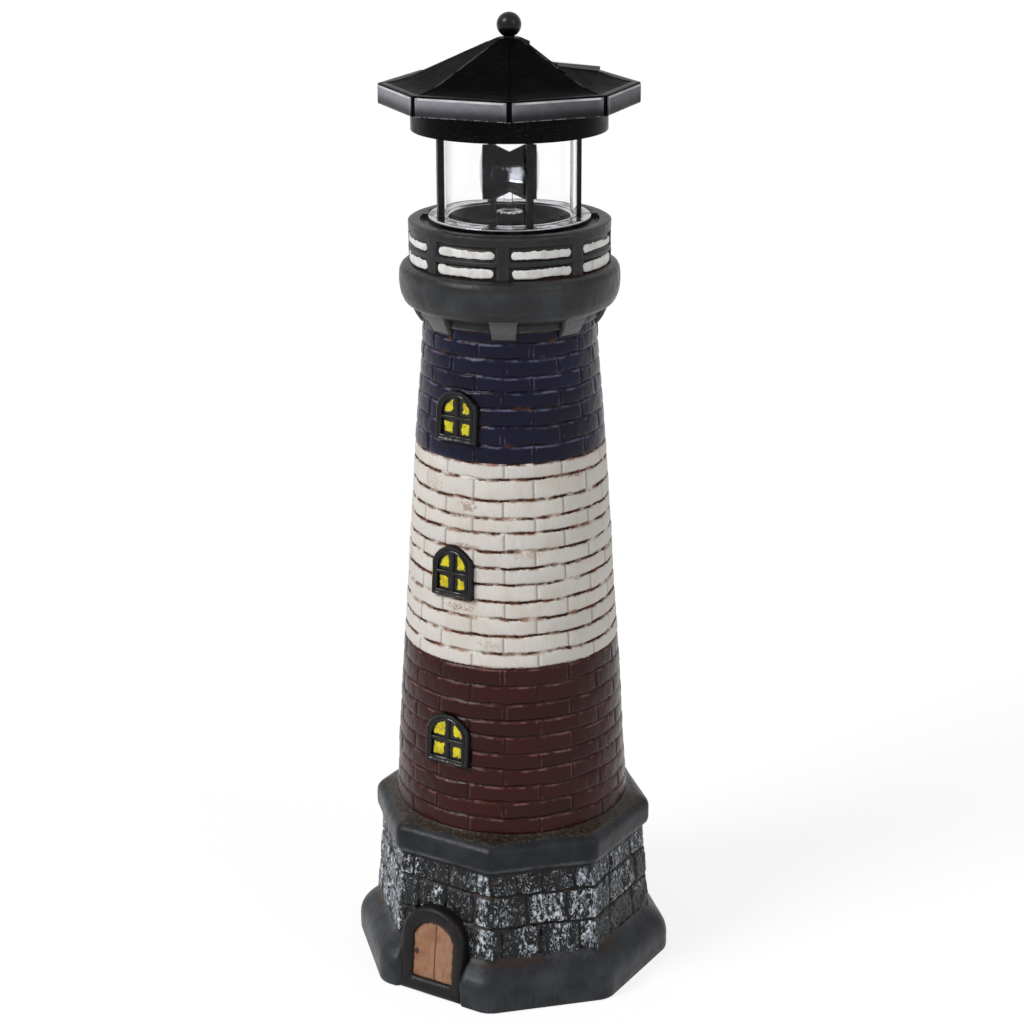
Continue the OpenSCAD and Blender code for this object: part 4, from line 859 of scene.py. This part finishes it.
# The inside of the hollow tower, from the gallery's mouth to the floor of the plinth
INNER_PROFILE = ((41.6, 373.6), (38.4, 373.4), (38.4, 366.4), (43.7, 363.4), (43.7, 357.0), (49.4, 353.0),
                 (49.6, 345.0), (45.5, 338.6), (40.0, 337.5), (40.0, 333.0), (38.3, 331.0), (54.8, 87.0),
                 (54.0, 76.0), (59.6, 68.0), (63.1, 22.0), (69.6, 10.0), (69.6, FLOOR_THICK),
                 (DRAIN_RADIUS, FLOOR_THICK))
INNER_COLUMNS = 192


def make_inside():
    """The inner face of the hollow tower."""
    points = spun(resampled(INNER_PROFILE, 5.0), ring(INNER_COLUMNS))
    points = points * (1 + dents(points, (0.004, 15, 71)))[..., None] ** np.array([1, 1, 0])
    look = Look("bare_inside", (52, 52, 54), (70, 70, 72), 30, 0.35, 0.7)
    make_grid("tower_inside", points, look.finish((5, 0.45, 0.7), [(1.2, 0.08), (8, 0.5, 4.0)], 0.3))


# ---- windows and door

WINDOW_AZIMUTH = -2.0
WINDOW_FRAME = 3.2
WINDOW_PROUD = 0.5
# Name, height of the middle, width and height
WINDOWS = (("window_top", 290.9, 22.2, 24.6), ("window_middle", 216.0, 22.2, 24.8),
           ("window_low", 132.1, 24.0, 25.4))
# Rise of an arch as a share of its width: of a window's rim and its opening, and of the door's surround and leaf
RIM_ARCH = 0.36
PANE_ARCH = 0.4
SURROUND_ARCH = 0.42
LEAF_ARCH = 0.36
# Across the frame from its rim inwards: share of the frame's width, and height over the wall
FRAME_SECTION = ((0.0, -3.6), (0.0, 0.7), (0.08, 1.25), (0.2, 1.55), (0.34, 1.45), (0.48, 1.0), (0.58, 0.95),
                 (0.7, 1.35), (0.82, 1.45), (0.94, 1.2), (1.0, 0.3), (1.0, -0.4))
BAR_SECTION = ((-1.25, -0.3), (-1.05, 0.55), (-0.5, 1.05), (0.0, 1.15), (0.5, 1.05), (1.05, 0.55), (1.25, -0.3))
BAR_STEPS = 16
CROSS_SHARE = 0.47
# How far bars reach under the frame, and how far panes do
BAR_UNDER = 0.6
PANE_UNDER = 0.3


def arch_radius(wide, rise):
    """Radius of the circle through an arch's two shoulders and its top."""
    return (wide * wide / 4 + rise * rise) / (2 * rise)


def arch_outline(wide, high, foot, rise_share, steps=20):
    """Outline of a round-topped opening, anticlockwise from its lower left corner."""
    rise = wide * rise_share
    big = arch_radius(wide, rise)
    half = math.asin(min(1.0, wide / 2 / big))
    middle = foot + high - big
    side = np.linspace(0, 1, 12)[:-1]
    left, right = -wide / 2, wide / 2
    shoulder = foot + high - rise
    lower = [(left + (right - left) * s, foot) for s in side]
    rising = [(right, foot + (shoulder - foot) * s) for s in side]
    top = [(big * math.sin(a), middle + big * math.cos(a)) for a in np.linspace(half, -half, steps)[:-1]]
    falling = [(left, shoulder + (foot - shoulder) * s) for s in side]
    return np.array(lower + rising + top + falling)


def arch_depth(x, y, wide, top, rise_share):
    """Distance in from the sides and the curve of an arch."""
    big = arch_radius(wide, wide * rise_share)
    return np.minimum(wide / 2 - np.abs(x), big - np.hypot(x, np.maximum(y - (top - big), 0)))


class Panel:
    """A flat frame on the wall: x across, y up and out of the wall, from a foot at an azimuth."""

    def __init__(self, azimuth, radius, z, lean):
        a, b = math.radians(azimuth), math.radians(lean)
        self.across = np.array((math.cos(a), math.sin(a), 0))
        self.up = np.array((-math.sin(a) * math.sin(b), math.cos(a) * math.sin(b), math.cos(b)))
        self.out = np.cross(self.across, self.up)
        self.foot = np.array((radius * math.sin(a), -radius * math.cos(a), z))

    def point(self, x, y, out):
        x, y, out = np.broadcast_arrays(x, y, out)
        return self.foot + x[..., None] * self.across + y[..., None] * self.up + out[..., None] * self.out


def ring_sheet(panel, outer, inner, section, waviness, seed):
    """Grid of points of a frame swept round between two outlines."""
    rows = []
    for share, out in section:
        line = outer + (inner - outer) * share
        lift = out + (waviness * ripple(np.pad(line, ((0, 0), (0, 1))), 3.0, seed) if out > 0 else 0)
        rows.append(panel.point(line[:, 0], line[:, 1], lift))
    return np.array(rows)


def flat_points(x, y):
    """Points of a flat sheet, to take ripples at."""
    return np.stack(np.broadcast_arrays(x, y, 0 * y), -1)


def window_frame_look():
    """Gloss black, a little brushed."""
    look = Look("painted_window_frame", (6, 6, 6), (13, 12, 12), 3, 0.45, 0.7)
    return look.finish((2, 0.14, 0.3), [(5, 0.1, 2.0), (2.2, 0.12)], 0.3)


def pane_look():
    """Yellow daubed in four panes, ragged at its edges, over black."""
    look = Look("painted_panes", (220, 208, 26), (186, 168, 18), 3, 0.4, 0.65)
    cover = look.rise(look.add(look.value("gold"), look.ragged(1.7, 2.2, 4.0, (1, 1, 0.8))), 0.15, 0.4)
    look.coat((112, 74, 20), look.patches(1.3, 0.64, 0.72, 3.0, (1, 1, 0.6)))
    look.paint = look.mix(cover, (13, 12, 10), look.paint)
    return look.finish((2, 0.3, 0.5), [(1.0, 0.1), (cover, 0.12)], 0.4)


def make_window(name, middle, wide, high, frame_look, panes_look, seed):
    """A window's frame with its two bars, and the panes behind them."""
    foot = middle - high / 2
    (low_z, low_radius), (high_z, high_radius) = TOWER_RADII[0], TOWER_RADII[-1]
    lean = math.degrees(math.atan((low_radius - high_radius) / (high_z - low_z)))
    panel = Panel(WINDOW_AZIMUTH, float(tower_radius(foot)) + WINDOW_PROUD, foot, lean)
    pane_wide, pane_high = wide - 2 * WINDOW_FRAME, high - 2 * WINDOW_FRAME
    outer = arch_outline(wide, high, 0.0, RIM_ARCH)
    inner = arch_outline(pane_wide, pane_high, WINDOW_FRAME, PANE_ARCH)
    rim = ring_sheet(panel, outer, inner, FRAME_SECTION, 0.22, seed)
    points = [rim.reshape(-1, 3)]
    faces = [quad[::-1] for quad in grid_faces(*rim.shape[:2])]
    half = wide / 2 - WINDOW_FRAME
    cross = high * CROSS_SHARE
    offset, lift = np.array(BAR_SECTION).T
    for upright in (True, False):
        rows = []
        for share in np.linspace(0, 1, BAR_STEPS):
            out = lift * (1 + 0.12 * math.sin(9 * share + seed))
            if upright:
                rows.append(panel.point(offset, WINDOW_FRAME - BAR_UNDER + (pane_high + BAR_UNDER) * share, out))
            else:
                rows.append(panel.point(-half - BAR_UNDER + 2 * (half + BAR_UNDER) * share, cross + offset, out))
        grid = np.array(rows)
        bar = grid_faces(*grid.shape[:2], closed=False, start=sum(map(len, points)))
        faces += [quad[::-1] for quad in bar] if upright else bar
        points.append(grid.reshape(-1, 3))
    make_piece(name + "_frame", np.vstack(points), faces, frame_look)
    x = np.linspace(-half - PANE_UNDER, half + PANE_UNDER, 44)[None, :]
    y = WINDOW_FRAME - PANE_UNDER + (pane_high + 2 * PANE_UNDER) * np.linspace(0, 1, 48)[:, None]
    in_arch = arch_depth(x, y, pane_wide, high - WINDOW_FRAME, PANE_ARCH)
    gold = np.full(in_arch.shape, -4.0)
    panes = [(*sides, *levels) for levels in ((WINDOW_FRAME, cross - 1.3), (cross + 1.5, FAR))
             for sides in ((-half, -1.3), (1.9, half))]
    for k, (left, right, lower, upper) in enumerate(panes):
        shrink = 0.45 + 0.6 * float(hashed(k, seed))
        gap = np.minimum(np.minimum(x - left, right - x), np.minimum(y - lower, upper - y))
        gold = np.maximum(gold, np.minimum(gap, in_arch + 0.2) - shrink)
    sheet = panel.point(x, y, 0.12 * ripple(flat_points(x, y), 4, seed))
    make_grid(name + "_panes", sheet[::-1], panes_look, {"gold": gold[::-1]}, closed=False)


DOOR_FACE = 74.9
DOOR_LEAN = 6.0
DOOR_MIDDLE = -3.1
DOOR_WIDE = 36.0
DOOR_HIGH = 46.8
DOOR_FOOT = 0.2
# The surround keeps so far over the ground
DOOR_CLEAR = 0.15
DOOR_STEPS = 40
LEAF_SHIFT = 0.5
LEAF_WIDE = 22.6
LEAF_HIGH = 30.0
LEAF_FOOT = 8.6
LEAF_DEPTH = 2.4
LEAF_UNDER = 0.3
# Across the surround from its rim to the leaf: share of its width and height over its face
DOOR_SECTION = ((0.0, -12.5), (0.0, -3.0), (0.05, -1.6), (0.12, -0.7), (0.22, -0.15), (0.36, 0.0), (0.55, -0.1),
                (0.72, -0.25), (0.84, -0.6), (0.93, -1.1), (1.0, -1.9), (1.0, -3.0))
PLANK_X = 0.9
HANDLE = (-9.6, 21.5, 1.1)


def surround_look():
    """Near-black slate, rusty in places."""
    look = Look("painted_door_surround", (17, 14, 14), (27, 22, 21), 9, 0.4, 0.7)
    look.coat((34, 21, 16), look.patches(2.2, 0.62, 0.74, 4.0))
    return look.finish((3, 0.28, 0.5), [(0.7, 0.06), (2.5, 0.3)], 0.22)


def leaf_look():
    """Tan planks, streaked, dark at their rim, their joint and the handle."""
    look = Look("painted_door_leaf", (158, 118, 92), (140, 97, 71), 8, 0.4, 0.7)
    look.coat((122, 80, 56), look.patches(1.0, 0.48, 0.7, 3.0, (1, 1, 0.12)), 0.5)
    frayed = look.ragged(2.2, 2.4, 4.0)
    look.coat((66, 42, 32), look.rise(look.add(look.value("rim"), frayed), 1.1, 0.0), 0.9)
    look.coat((84, 50, 34), look.rise(look.add(look.value("line"), look.product(frayed, 0.18)), 0.5, 0.16), 0.85)
    look.coat((60, 38, 30), look.rise(look.add(look.value("handle"), look.product(frayed, 0.35)), 0.4, 0.0))
    look.coat((96, 58, 40), look.patches(2.8, 0.7, 0.75, 4.0, (1, 1, 2.2)), 0.7)
    return look.finish((3, 0.42, 0.62), [(3, 0.14), (0.9, 0.1, 3.0, (1, 1, 0.2))], 0.35)


def make_door():
    """The door's rounded surround and its leaf of two planks."""
    panel = Panel(0.0, DOOR_FACE, 0.0, DOOR_LEAN)
    leaf_middle = DOOR_MIDDLE + LEAF_SHIFT
    outer = arch_outline(DOOR_WIDE, DOOR_HIGH, DOOR_FOOT, SURROUND_ARCH, DOOR_STEPS) + (DOOR_MIDDLE, 0)
    inner = arch_outline(LEAF_WIDE, LEAF_HIGH, LEAF_FOOT, LEAF_ARCH, DOOR_STEPS) + (leaf_middle, 0)
    surround = ring_sheet(panel, outer, inner, DOOR_SECTION, 0.0, 3)
    # its rim and its back aren't dented
    surround[2:, :, 1] -= dents(surround[2:], (0.22, 7, 81), (0.08, 2.2, 82))
    surround[..., 2] = np.maximum(surround[..., 2], DOOR_CLEAR)
    make_grid("door_surround", surround[::-1], surround_look(), smooth_angle=70)
    x = np.linspace(-LEAF_WIDE / 2 - LEAF_UNDER, LEAF_WIDE / 2 + LEAF_UNDER, 70)[None, :]
    z = np.linspace(LEAF_FOOT - LEAF_UNDER, LEAF_FOOT + LEAF_HIGH + LEAF_UNDER, 90)[:, None]
    flat = flat_points(x, z)
    line = np.abs(x - PLANK_X - 0.35 * ripple(flat, 6, 85))
    seams = 0.55 * hump(line, 0.4)
    out = -LEAF_DEPTH - seams + 0.16 * ripple(flat, 5, 86) + 0.07 * ripple(flat * (1, 0.3, 1), 1.2, 87)
    rim = np.minimum(arch_depth(x, z, LEAF_WIDE, LEAF_FOOT + LEAF_HIGH, LEAF_ARCH), z - LEAF_FOOT)
    handle_x, handle_z, handle_half = HANDLE
    handle = np.hypot(x - handle_x, (z - handle_z) * 0.75) - handle_half
    make_grid("door_leaf", panel.point(x + leaf_middle, z, out)[::-1], leaf_look(),
              {"rim": rim[::-1], "line": line[::-1], "handle": handle[::-1]}, closed=False)


make_skirt()
make_wall()
make_ledge()
make_gallery()
make_inside()
window_looks = window_frame_look(), pane_look()
for number, window in enumerate(WINDOWS):
    make_window(*window, *window_looks, 7 + number)
make_door()

# ---- looks of the lamp head

HEAD_TURN = 31.5
PANEL_AZIMUTH = 135.0
BUSH_TOP = 379.9
# heights between which the lead is painted black as painted shade
LEAD_SHADE_TOP = 382.6
LEAD_SHADE_FOOT = 362.0
REFLECTOR_MIDDLE = 397.5


def mould_look(name, base, bright, low, high, level, grain=0.05, edge=0.35, scratched=0.0):
    """Black moulded plastic with rounded edges, a faint grain, hazy patches and fine scratches."""
    look = Look(name, base, bright, 14, 0.4, 0.75)
    look.coat((96, 97, 100), look.patches(0.9, 0.7, 0.8), 0.35)
    scratch = look.off(look.noise(5, 2.0, (0.3, 1, 2.2), 0.5, 2.0), 0.5)
    look.coat((120, 124, 130), look.rise(scratch, 0.008, 0.0), scratched)
    rough = look.between(look.patches(9, 0.35, 0.7, 4.0), low, high)
    return look.finish(rough, [(7, 0.06, 2.0), (0.7, grain)], level, look.rounded(edge))


def clear_look(name, tint, roughness, ior=1.49):
    """Clear plastic that lets lamps through, with faint moulding streaks. Its tint is a list of scene values."""
    look = Look(name)
    streaks = look.noise(11, 3.0, (1, 1, 0.25))
    base = look.mix(look.rise(streaks, 0.35, 0.75), [*tint, 1], [1, 1, 1, 1])
    rough = look.between(look.patches(6, 0.45, 0.75), roughness, roughness + 0.05)
    glass = look.node("BsdfPrincipled", {"Base Color": base, "Roughness": rough, "IOR": ior,
                                         "Normal": look.relief([(streaks, 0.05)]), "Transmission Weight": 1.0})
    through = look.node("BsdfTransparent", {"Color": (0.93, 0.94, 0.95, 1)})
    shadow = look.node("LightPath").outputs["Is Shadow Ray"]
    both = look.node("MixShader", {0: shadow, 1: glass.outputs[0], 2: through.outputs[0]}).outputs[0]
    look.node("OutputMaterial", {"Surface": both})
    return look.material


def metal_look(name, dark, bright, low, high, size, edge=0.2, stretch=(1, 1, 1)):
    """Plated or bare metal, mottled, with fine marks."""
    look = Look(name, dark, bright, size, 0.36, 0.68, 4.0, (1, 1, 1), 0.55, 0.6)
    marks = look.product(look.patches(0.8, 0.55, 0.75, 3.0, stretch), 0.2)
    look.coat(dark, marks)
    layers = [(marks, 0.03), (size, 0.06)]
    return look.finish((size * 0.6, low, high), layers, normal=look.rounded(edge), Metallic=1.0)


def plastic_look(name, base, shade, low, high, size=8.0):
    """Coloured plastic, rubber or resin with a soft mottle and worn spots."""
    look = Look(name, base, shade, size, 0.38, 0.72, 4.0)
    look.coat(shade, look.patches(1.1, 0.66, 0.78), 0.3)
    return look.finish((size * 0.5, low, high), [(1.0, 0.04)], 0.45, look.rounded(0.2))


def stripes(look, along, pitch, width):
    """1 on lines width mm wide, every pitch mm."""
    off = look.off(look.math("FRACT", look.math("DIVIDE", along, pitch)), 0.5)
    half = 0.5 * width / pitch
    return look.rise(off, half * 1.25, half * 0.85)


def solar_look():
    """Blue-black cells with pale fingers and two bus bars under clear resin."""
    look = Look("solar_cells", (16, 22, 46), (26, 34, 70), 5, 0.4, 0.7)
    x, y, _ = look.axes(HEAD_TURN + PANEL_AZIMUTH)
    look.coat(look.texture("Voronoi", 3.0)["Color"], 0.12)
    look.coat((120, 128, 150), stripes(look, x, 1.6, 0.16), 0.5)
    look.coat((170, 174, 182), stripes(look, y, 9.6, 0.7), 0.8)
    look.coat((12, 14, 20), stripes(look, look.add(x, 4.6), 9.3, 0.8))
    return look.finish((7, 0.1, 0.22), [(9, 0.1, 2.0)], Coat_Weight=0.6, Coat_Roughness=0.06)


def board_look():
    """Green solder mask with darker tracks and small pale pads."""
    look = Look("circuit_board", (22, 88, 44), (30, 110, 58), 4, 0.4, 0.7)
    x, y, _ = look.axes(HEAD_TURN)
    tracks = look.math("MAXIMUM", stripes(look, x, 3.1, 0.5), stripes(look, y, 4.3, 0.45))
    look.coat((14, 60, 30), tracks, look.patches(7, 0.4, 0.5, 1.0), 0.7)
    pads = look.product(look.rise(look.texture("Voronoi", 2.4)["Distance"], 0.16, 0.12), 0.9)
    look.coat((196, 190, 170), pads)
    return look.finish(look.between(pads, 0.3, 0.2), [(tracks, 0.05)], 0.5)


def cell_look():
    """Plain green shrink sleeve with a dark band, over a steel can."""
    look = Look("battery_sleeve", (44, 120, 74), (58, 140, 90), 9, 0.4, 0.7)
    x = look.axes(HEAD_TURN)[0]
    look.coat((30, 34, 36), look.rise(x, 13.0, 13.6))
    ends = look.rise(look.math("ABSOLUTE", x), 23.4, 23.8)
    look.coat((190, 190, 192), ends)
    wrinkles = look.noise(3, 3.0, (3, 1, 1))
    return look.finish(look.between(wrinkles, 0.2, 0.35), [(wrinkles, 0.1)], Metallic=ends)


def dish_look(name):
    """Plated dish: blue-black mottles and a bright waist as painted reflection, and painted highlights at top and
    bottom.
    """
    # blue-black mottles: painted reflection of a dark room
    look = Look(name, (9, 10, 14), (72, 75, 90), 5.5, 0.5, 0.64, 4.0, (1, 1, 0.6), 0.6, 1.4)
    x, _, up = look.axes(HEAD_TURN)
    off = look.add(look.off(x, 3.0), look.ragged(3, 5.0))
    level = look.off(up, REFLECTOR_MIDDLE)
    # bright waist: painted reflection
    look.coat((216, 218, 228), look.rise(off, 4.2, 1.4), look.rise(level, 8.0, 4.0))
    # bright at the top and bottom: painted highlight
    look.coat((210, 212, 218), look.rise(look.math("ABSOLUTE", x), 8.5, 6.0), look.rise(level, 13.0, 15.5), 0.8)
    return look.finish((3, 0.08, 0.22), [(4, 0.12)], normal=look.rounded(0.3), Metallic=1.0)


def bowl_look():
    """Plated floor: a mottled flange and a dark bowl as painted reflection and shade, and a painted highlight on
    the rim.
    """
    # flange mottled dark and bright: painted reflection
    look = Look("chrome_floor_plating", (30, 29, 33), (196, 198, 202), 10, 0.4, 0.56, 4.0, (1, 1, 1), 0.55, 0.8)
    up = look.axes(HEAD_TURN)[2]
    # the bowl painted dark: painted shade
    inner = look.mottle((13, 13, 15), (44, 44, 47), 6, 0.45, 0.7, 4.0)
    # lighter low down: painted reflection
    inner = look.mix(look.product(look.rise(up, 372.2, 371.0), 0.35), inner, (84, 84, 88))
    inside = look.rise(up, 378.2, 377.6)
    look.coat(inner, inside)
    # bright line round the bowl's rim: painted highlight
    look.coat((236, 238, 242), look.span(up, 377.6, 377.9, 378.3, 378.55), 0.85)
    plated = look.math("SUBTRACT", 1.0, look.product(inside, 0.7))
    return look.finish((7, 0.1, 0.24), [(12, 0.06)], 0.08, look.rounded(0.2), Metallic=plated)


def lead_look():
    """Red insulation, painted near black over the middle of the wire as painted shade."""
    look = Look("red_insulation", (150, 22, 18), (112, 14, 12), 3, 0.35, 0.65)
    up = look.axes(HEAD_TURN)[2]
    lead_shade = look.mottle((12, 12, 13), (22, 22, 23), 3, 0.35, 0.65)
    # painted shade: near black between the two heights
    look.coat(lead_shade, look.rise(up, LEAD_SHADE_TOP, LEAD_SHADE_TOP - 0.3), look.rise(up, LEAD_SHADE_FOOT, LEAD_SHADE_FOOT + 1.0))
    return look.finish((2, 0.3, 0.45), [(1.5, 0.1)], 0.1)


def bush_look():
    """Black bush with a bright top, a painted highlight broken into patches."""
    look = Look("bush_black", (8, 8, 9), (16, 16, 17), 4, 0.4, 0.7)
    up = look.axes(HEAD_TURN)[2]
    # painted highlight on the top
    look.coat((236, 236, 238), look.rise(up, BUSH_TOP - 0.7, BUSH_TOP - 0.2), look.patches(1.6, 0.42, 0.5))
    return look.finish((3, 0.25, 0.4), [(1.5, 0.1)], 0.06)


CLEAR = 0.95, 0.96, 0.98
NICKEL = (140, 140, 138), (206, 205, 200), 0.15, 0.3, 2.0
HOUSING_BLACK = (24, 24, 26), (36, 36, 38), 0.4
FINISHES = {
    "roof_cover": mould_look("roof_black", (8, 7, 7), (16, 14, 13), 0.24, 0.36, 0.004, 0.02, 0.5, 0.06),
    "finial_ball": mould_look("ball_black", (13, 11, 10), (22, 18, 16), 0.18, 0.32, 0.25, 0.05, 0.3, 0.1),
    "ceiling_cup": mould_look("cup_black", (9, 9, 9), (16, 16, 17), 0.24, 0.4, 0.04, 0.05, 0.5, 0.25),
    "lamp_base": mould_look("base_black", (34, 34, 35), (48, 48, 49), 0.25, 0.4, 0.12, 0.05, 0.35, 0.3),
    "hub_bush": bush_look(),
    "lower_housing": mould_look("housing_black", *HOUSING_BLACK, 0.6, 0.35, 0.1, 0.4, 0.2),
    "battery_door": mould_look("door_black", *HOUSING_BLACK, 0.58, 0.35, 0.1, 0.3, 0.3),
    "solar_panel": solar_look(),
    "lamp_tube": clear_look("clear_tube", (0.985, 0.99, 0.995), 0.0, 1.24),
    "spindle": clear_look("clear_spindle", (0.84, 0.86, 0.89), 0.02),
    "lens_left": clear_look("clear_lens", CLEAR, 0.02),
    "lens_right": clear_look("clear_lens_right", CLEAR, 0.02),
    "floor_plate": bowl_look(),
    "reflector_left": dish_look("chrome_dish_left"),
    "reflector_right": dish_look("chrome_dish_right"),
    "drive_gear": plastic_look("gear_white_drive", (226, 222, 208), (206, 202, 186), 0.35, 0.5),
    "idler_gear": plastic_look("gear_white_idler", (222, 218, 204), (200, 196, 182), 0.35, 0.5),
    "gear_plate": plastic_look("plate_white", (206, 204, 196), (188, 186, 176), 0.4, 0.55, 12.0),
    "switch_knob": plastic_look("knob_white", (228, 226, 220), (206, 203, 196), 0.35, 0.5, 3.0),
    "motor_pinion": metal_look("brass", (150, 112, 48), (212, 174, 96), 0.18, 0.32, 2.0),
    "motor": metal_look("motor_can", (120, 121, 124), (176, 178, 180), 0.25, 0.4, 5.0, 0.25, (1, 1, 0.2)),
    "idler_pin": metal_look("pin_steel", (130, 131, 134), (190, 191, 193), 0.18, 0.3, 2.0),
    "switch_body": metal_look("switch_can", (120, 121, 124), (184, 185, 187), 0.25, 0.4, 3.0),
    "contact_plus": metal_look("contact_nickel", *NICKEL),
    "contact_minus": metal_look("contact_nickel_minus", *NICKEL),
    "circuit_board": board_look(),
    "led_board": plastic_look("led_board_green", (24, 92, 48), (18, 70, 36), 0.3, 0.45, 3.0),
    "led": plastic_look("led_resin", (242, 238, 214), (228, 214, 150), 0.08, 0.16, 1.5),
    "battery_cell": cell_look(),
    "red_lead": lead_look(),
    "black_lead": plastic_look("black_insulation", (28, 28, 29), (44, 43, 42), 0.3, 0.45, 3.0),
}
STEEL = (96, 97, 99), (170, 171, 173), 0.25, 0.4, 1.5, 0.15
for kind in ("roof", "housing", "board"):
    FINISHES[kind + "_screws"] = metal_look(kind + "_screw_steel", *STEEL)

for node_name, finish in FINISHES.items():
    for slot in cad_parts[node_name].material_slots:
        slot.material = finish

# ---- roof

# Ribs on the roof's corners: turn, and where the rib starts, clear of the panel's seat
RIDGES = ((0, 9.8), (45, 9.8), (90, 42.0), (135, 47.0), (180, 42.0), (225, 9.8), (270, 9.8), (315, 9.8))
RIDGE_END = 59.0
RIDGE_STEPS = 24
RIDGE_SECTION = ((-0.75, -0.4), (-0.4, 0.1), (0.0, 0.24), (0.4, 0.1), (0.75, -0.4))
ROOF_PEAK = 462.1
ROOF_EDGE = 439.1
ROOF_SLOPE = math.tan(math.radians(25.4))
ROOF_HALF = 55.98
ROOF_BEND = 0.86 * (ROOF_PEAK - ROOF_EDGE) / ROOF_SLOPE
# Half width across the flats of an octagon, as a share of that across its corners
FLAT_SHARE = math.cos(math.radians(EIGHTH))


def ridge_height(radii):
    """Height of the roof's corners: a straight slope that eases out to the edge."""
    flat = radii * FLAT_SHARE
    run = ROOF_HALF - ROOF_BEND
    drop = ROOF_PEAK - ROOF_EDGE - ROOF_BEND * ROOF_SLOPE
    u = (flat - ROOF_BEND) / run
    eased = ROOF_SLOPE * run * (u - u * u / 2) + (drop - ROOF_SLOPE * run / 2) * u * u
    return ROOF_PEAK - np.where(flat <= ROOF_BEND, flat * ROOF_SLOPE, ROOF_BEND * ROOF_SLOPE + eased)


def ridge_look():
    """Black, with painted highlights on the ribs to the left and the right, down to just over the edge."""
    look = Look("ridge_black")
    x, _, up = look.axes(HEAD_TURN)
    side = look.rise(look.math("ABSOLUTE", x), 5.0, 10.0)
    lit = look.product(side, look.patches(7, 0.4, 0.6), look.rise(up, 440.5, 443.0))
    look.paint = look.mix(lit, (4, 4, 4), (76, 74, 72))
    return look.finish((5, 0.34, 0.46), [(4, 0.05)], 0.004)


def make_ridges():
    """The ribs on the roof's eight corners."""
    points, faces = [], []
    for turn, start in RIDGES:
        radii = np.linspace(start, RIDGE_END, RIDGE_STEPS)
        out = polar(HEAD_TURN + turn, 1.0, 0.0)
        across = polar(HEAD_TURN + turn + 90, 1.0, 0.0)
        grid = np.array([[out * r + across * o + (0, 0, z + lift) for o, lift in RIDGE_SECTION]
                         for r, z in zip(radii, ridge_height(radii))])
        faces += grid_faces(*grid.shape[:2], closed=False, start=sum(map(len, points)))
        points.append(grid.reshape(-1, 3))
    make_piece("roof_ribs", np.vstack(points), faces, ridge_look(), body="lamp_head", slot="black_gloss")


# The roof's upright edge: half width across the corners and height
EDGE_PROFILE = ((60.0, 429.95), (60.8, 430.15), (61.0, 430.9), (61.0, 437.6), (60.85, 438.4), (60.4, 439.0),
                (59.6, 439.4), (58.0, 439.5), (56.4, 439.4), (55.0, 438.9))
EDGE_CORNER = 0.8
# Radius at which distances from a flute are measured
EDGE_RADIUS = 60.0
FLUTE_RADIUS = 2.1
FLUTE_CENTRE = 61.9
FLUTE_FOOT = 430
FLUTE_TOP = 439.4


def edge_look():
    """Painted sheen and highlights by the flutes and rim, painted shade in the flutes, pale specks at the foot, on
    black.
    """
    look = Look("roof_edge_black")
    x, _, up = look.axes(HEAD_TURN)
    near = look.value("corner")
    level = look.rise(up, 431.4, 437.4)
    # painted sheen that grows upwards and towards the left
    lit = look.rise(look.add(x, look.product(look.noise(24, 2.0), 30)), 50, -25)
    sheen = look.product(look.between(level, 0.12, 1.0), look.between(lit, 0.45, 1.0),
                         look.between(look.noise(5.0, 3.0, (1, 1, 1.6)), 0.6, 1.15))
    look.paint = look.mix(sheen, (26, 26, 28), (152, 150, 158))
    # painted highlights beside the flutes
    look.coat((150, 149, 154), look.rise(near, 4.5, 1.6), level, 0.35)
    # painted shade in the flutes
    look.coat((8, 8, 9), look.rise(near, 1.5, 0.9))
    # painted highlight along the rim, broken into patches
    rim_highlight_breaks = look.between(look.patches(16, 0.35, 0.65), 0.45, 0.95)
    look.coat((222, 221, 225), look.span(up, 437.5, 437.9, 438.4, 438.7), look.rise(near, 2.0, 3.2), rim_highlight_breaks)
    look.coat((150, 150, 152), look.rise(up, 430.6, 430.35), look.patches(1.4, 0.42, 0.52, 2.0), 0.7)
    look.coat((9, 8, 8), look.rise(up, 438.5, 438.9))
    return look.finish((9, 0.2, 0.34), [(9, 0.15, 2.0), (0.8, 0.02)], 0.03)


def make_roof_edge():
    """The roof's upright edge: flat between the eight corners, with a flute down each of them."""
    azimuths = ring(2 * COLUMNS)
    profile = resampled(EDGE_PROFILE, 0.8)
    radius = np.array([octagon(azimuths + EIGHTH, r * FLAT_SHARE, EDGE_CORNER) for r, _ in profile])
    corner = np.radians(np.abs(turn_from((azimuths * 8) % 360.0, 0.0)) / 8) * EDGE_RADIUS
    z = profile[:, 1:] + 0 * azimuths
    flute = FLUTE_CENTRE - np.sqrt(np.clip(FLUTE_RADIUS ** 2 - corner ** 2, 0, None))
    cut = (corner < FLUTE_RADIUS) & (z > FLUTE_FOOT) & (z < FLUTE_TOP)
    radius = np.where(cut, np.minimum(radius, flute), radius)
    hollows = dents(polar(azimuths, radius, z), (0.11, 13, 91))
    radius = radius + hollows * smooth(z, 439.3, 438.0) * smooth(corner, 2.0, 4.0)
    make_grid("roof_edge", polar(azimuths + HEAD_TURN, radius, z), edge_look(), {"corner": corner + 0 * z},
              smooth_angle=50, body="lamp_head", slot="black_gloss")


make_ridges()
make_roof_edge()
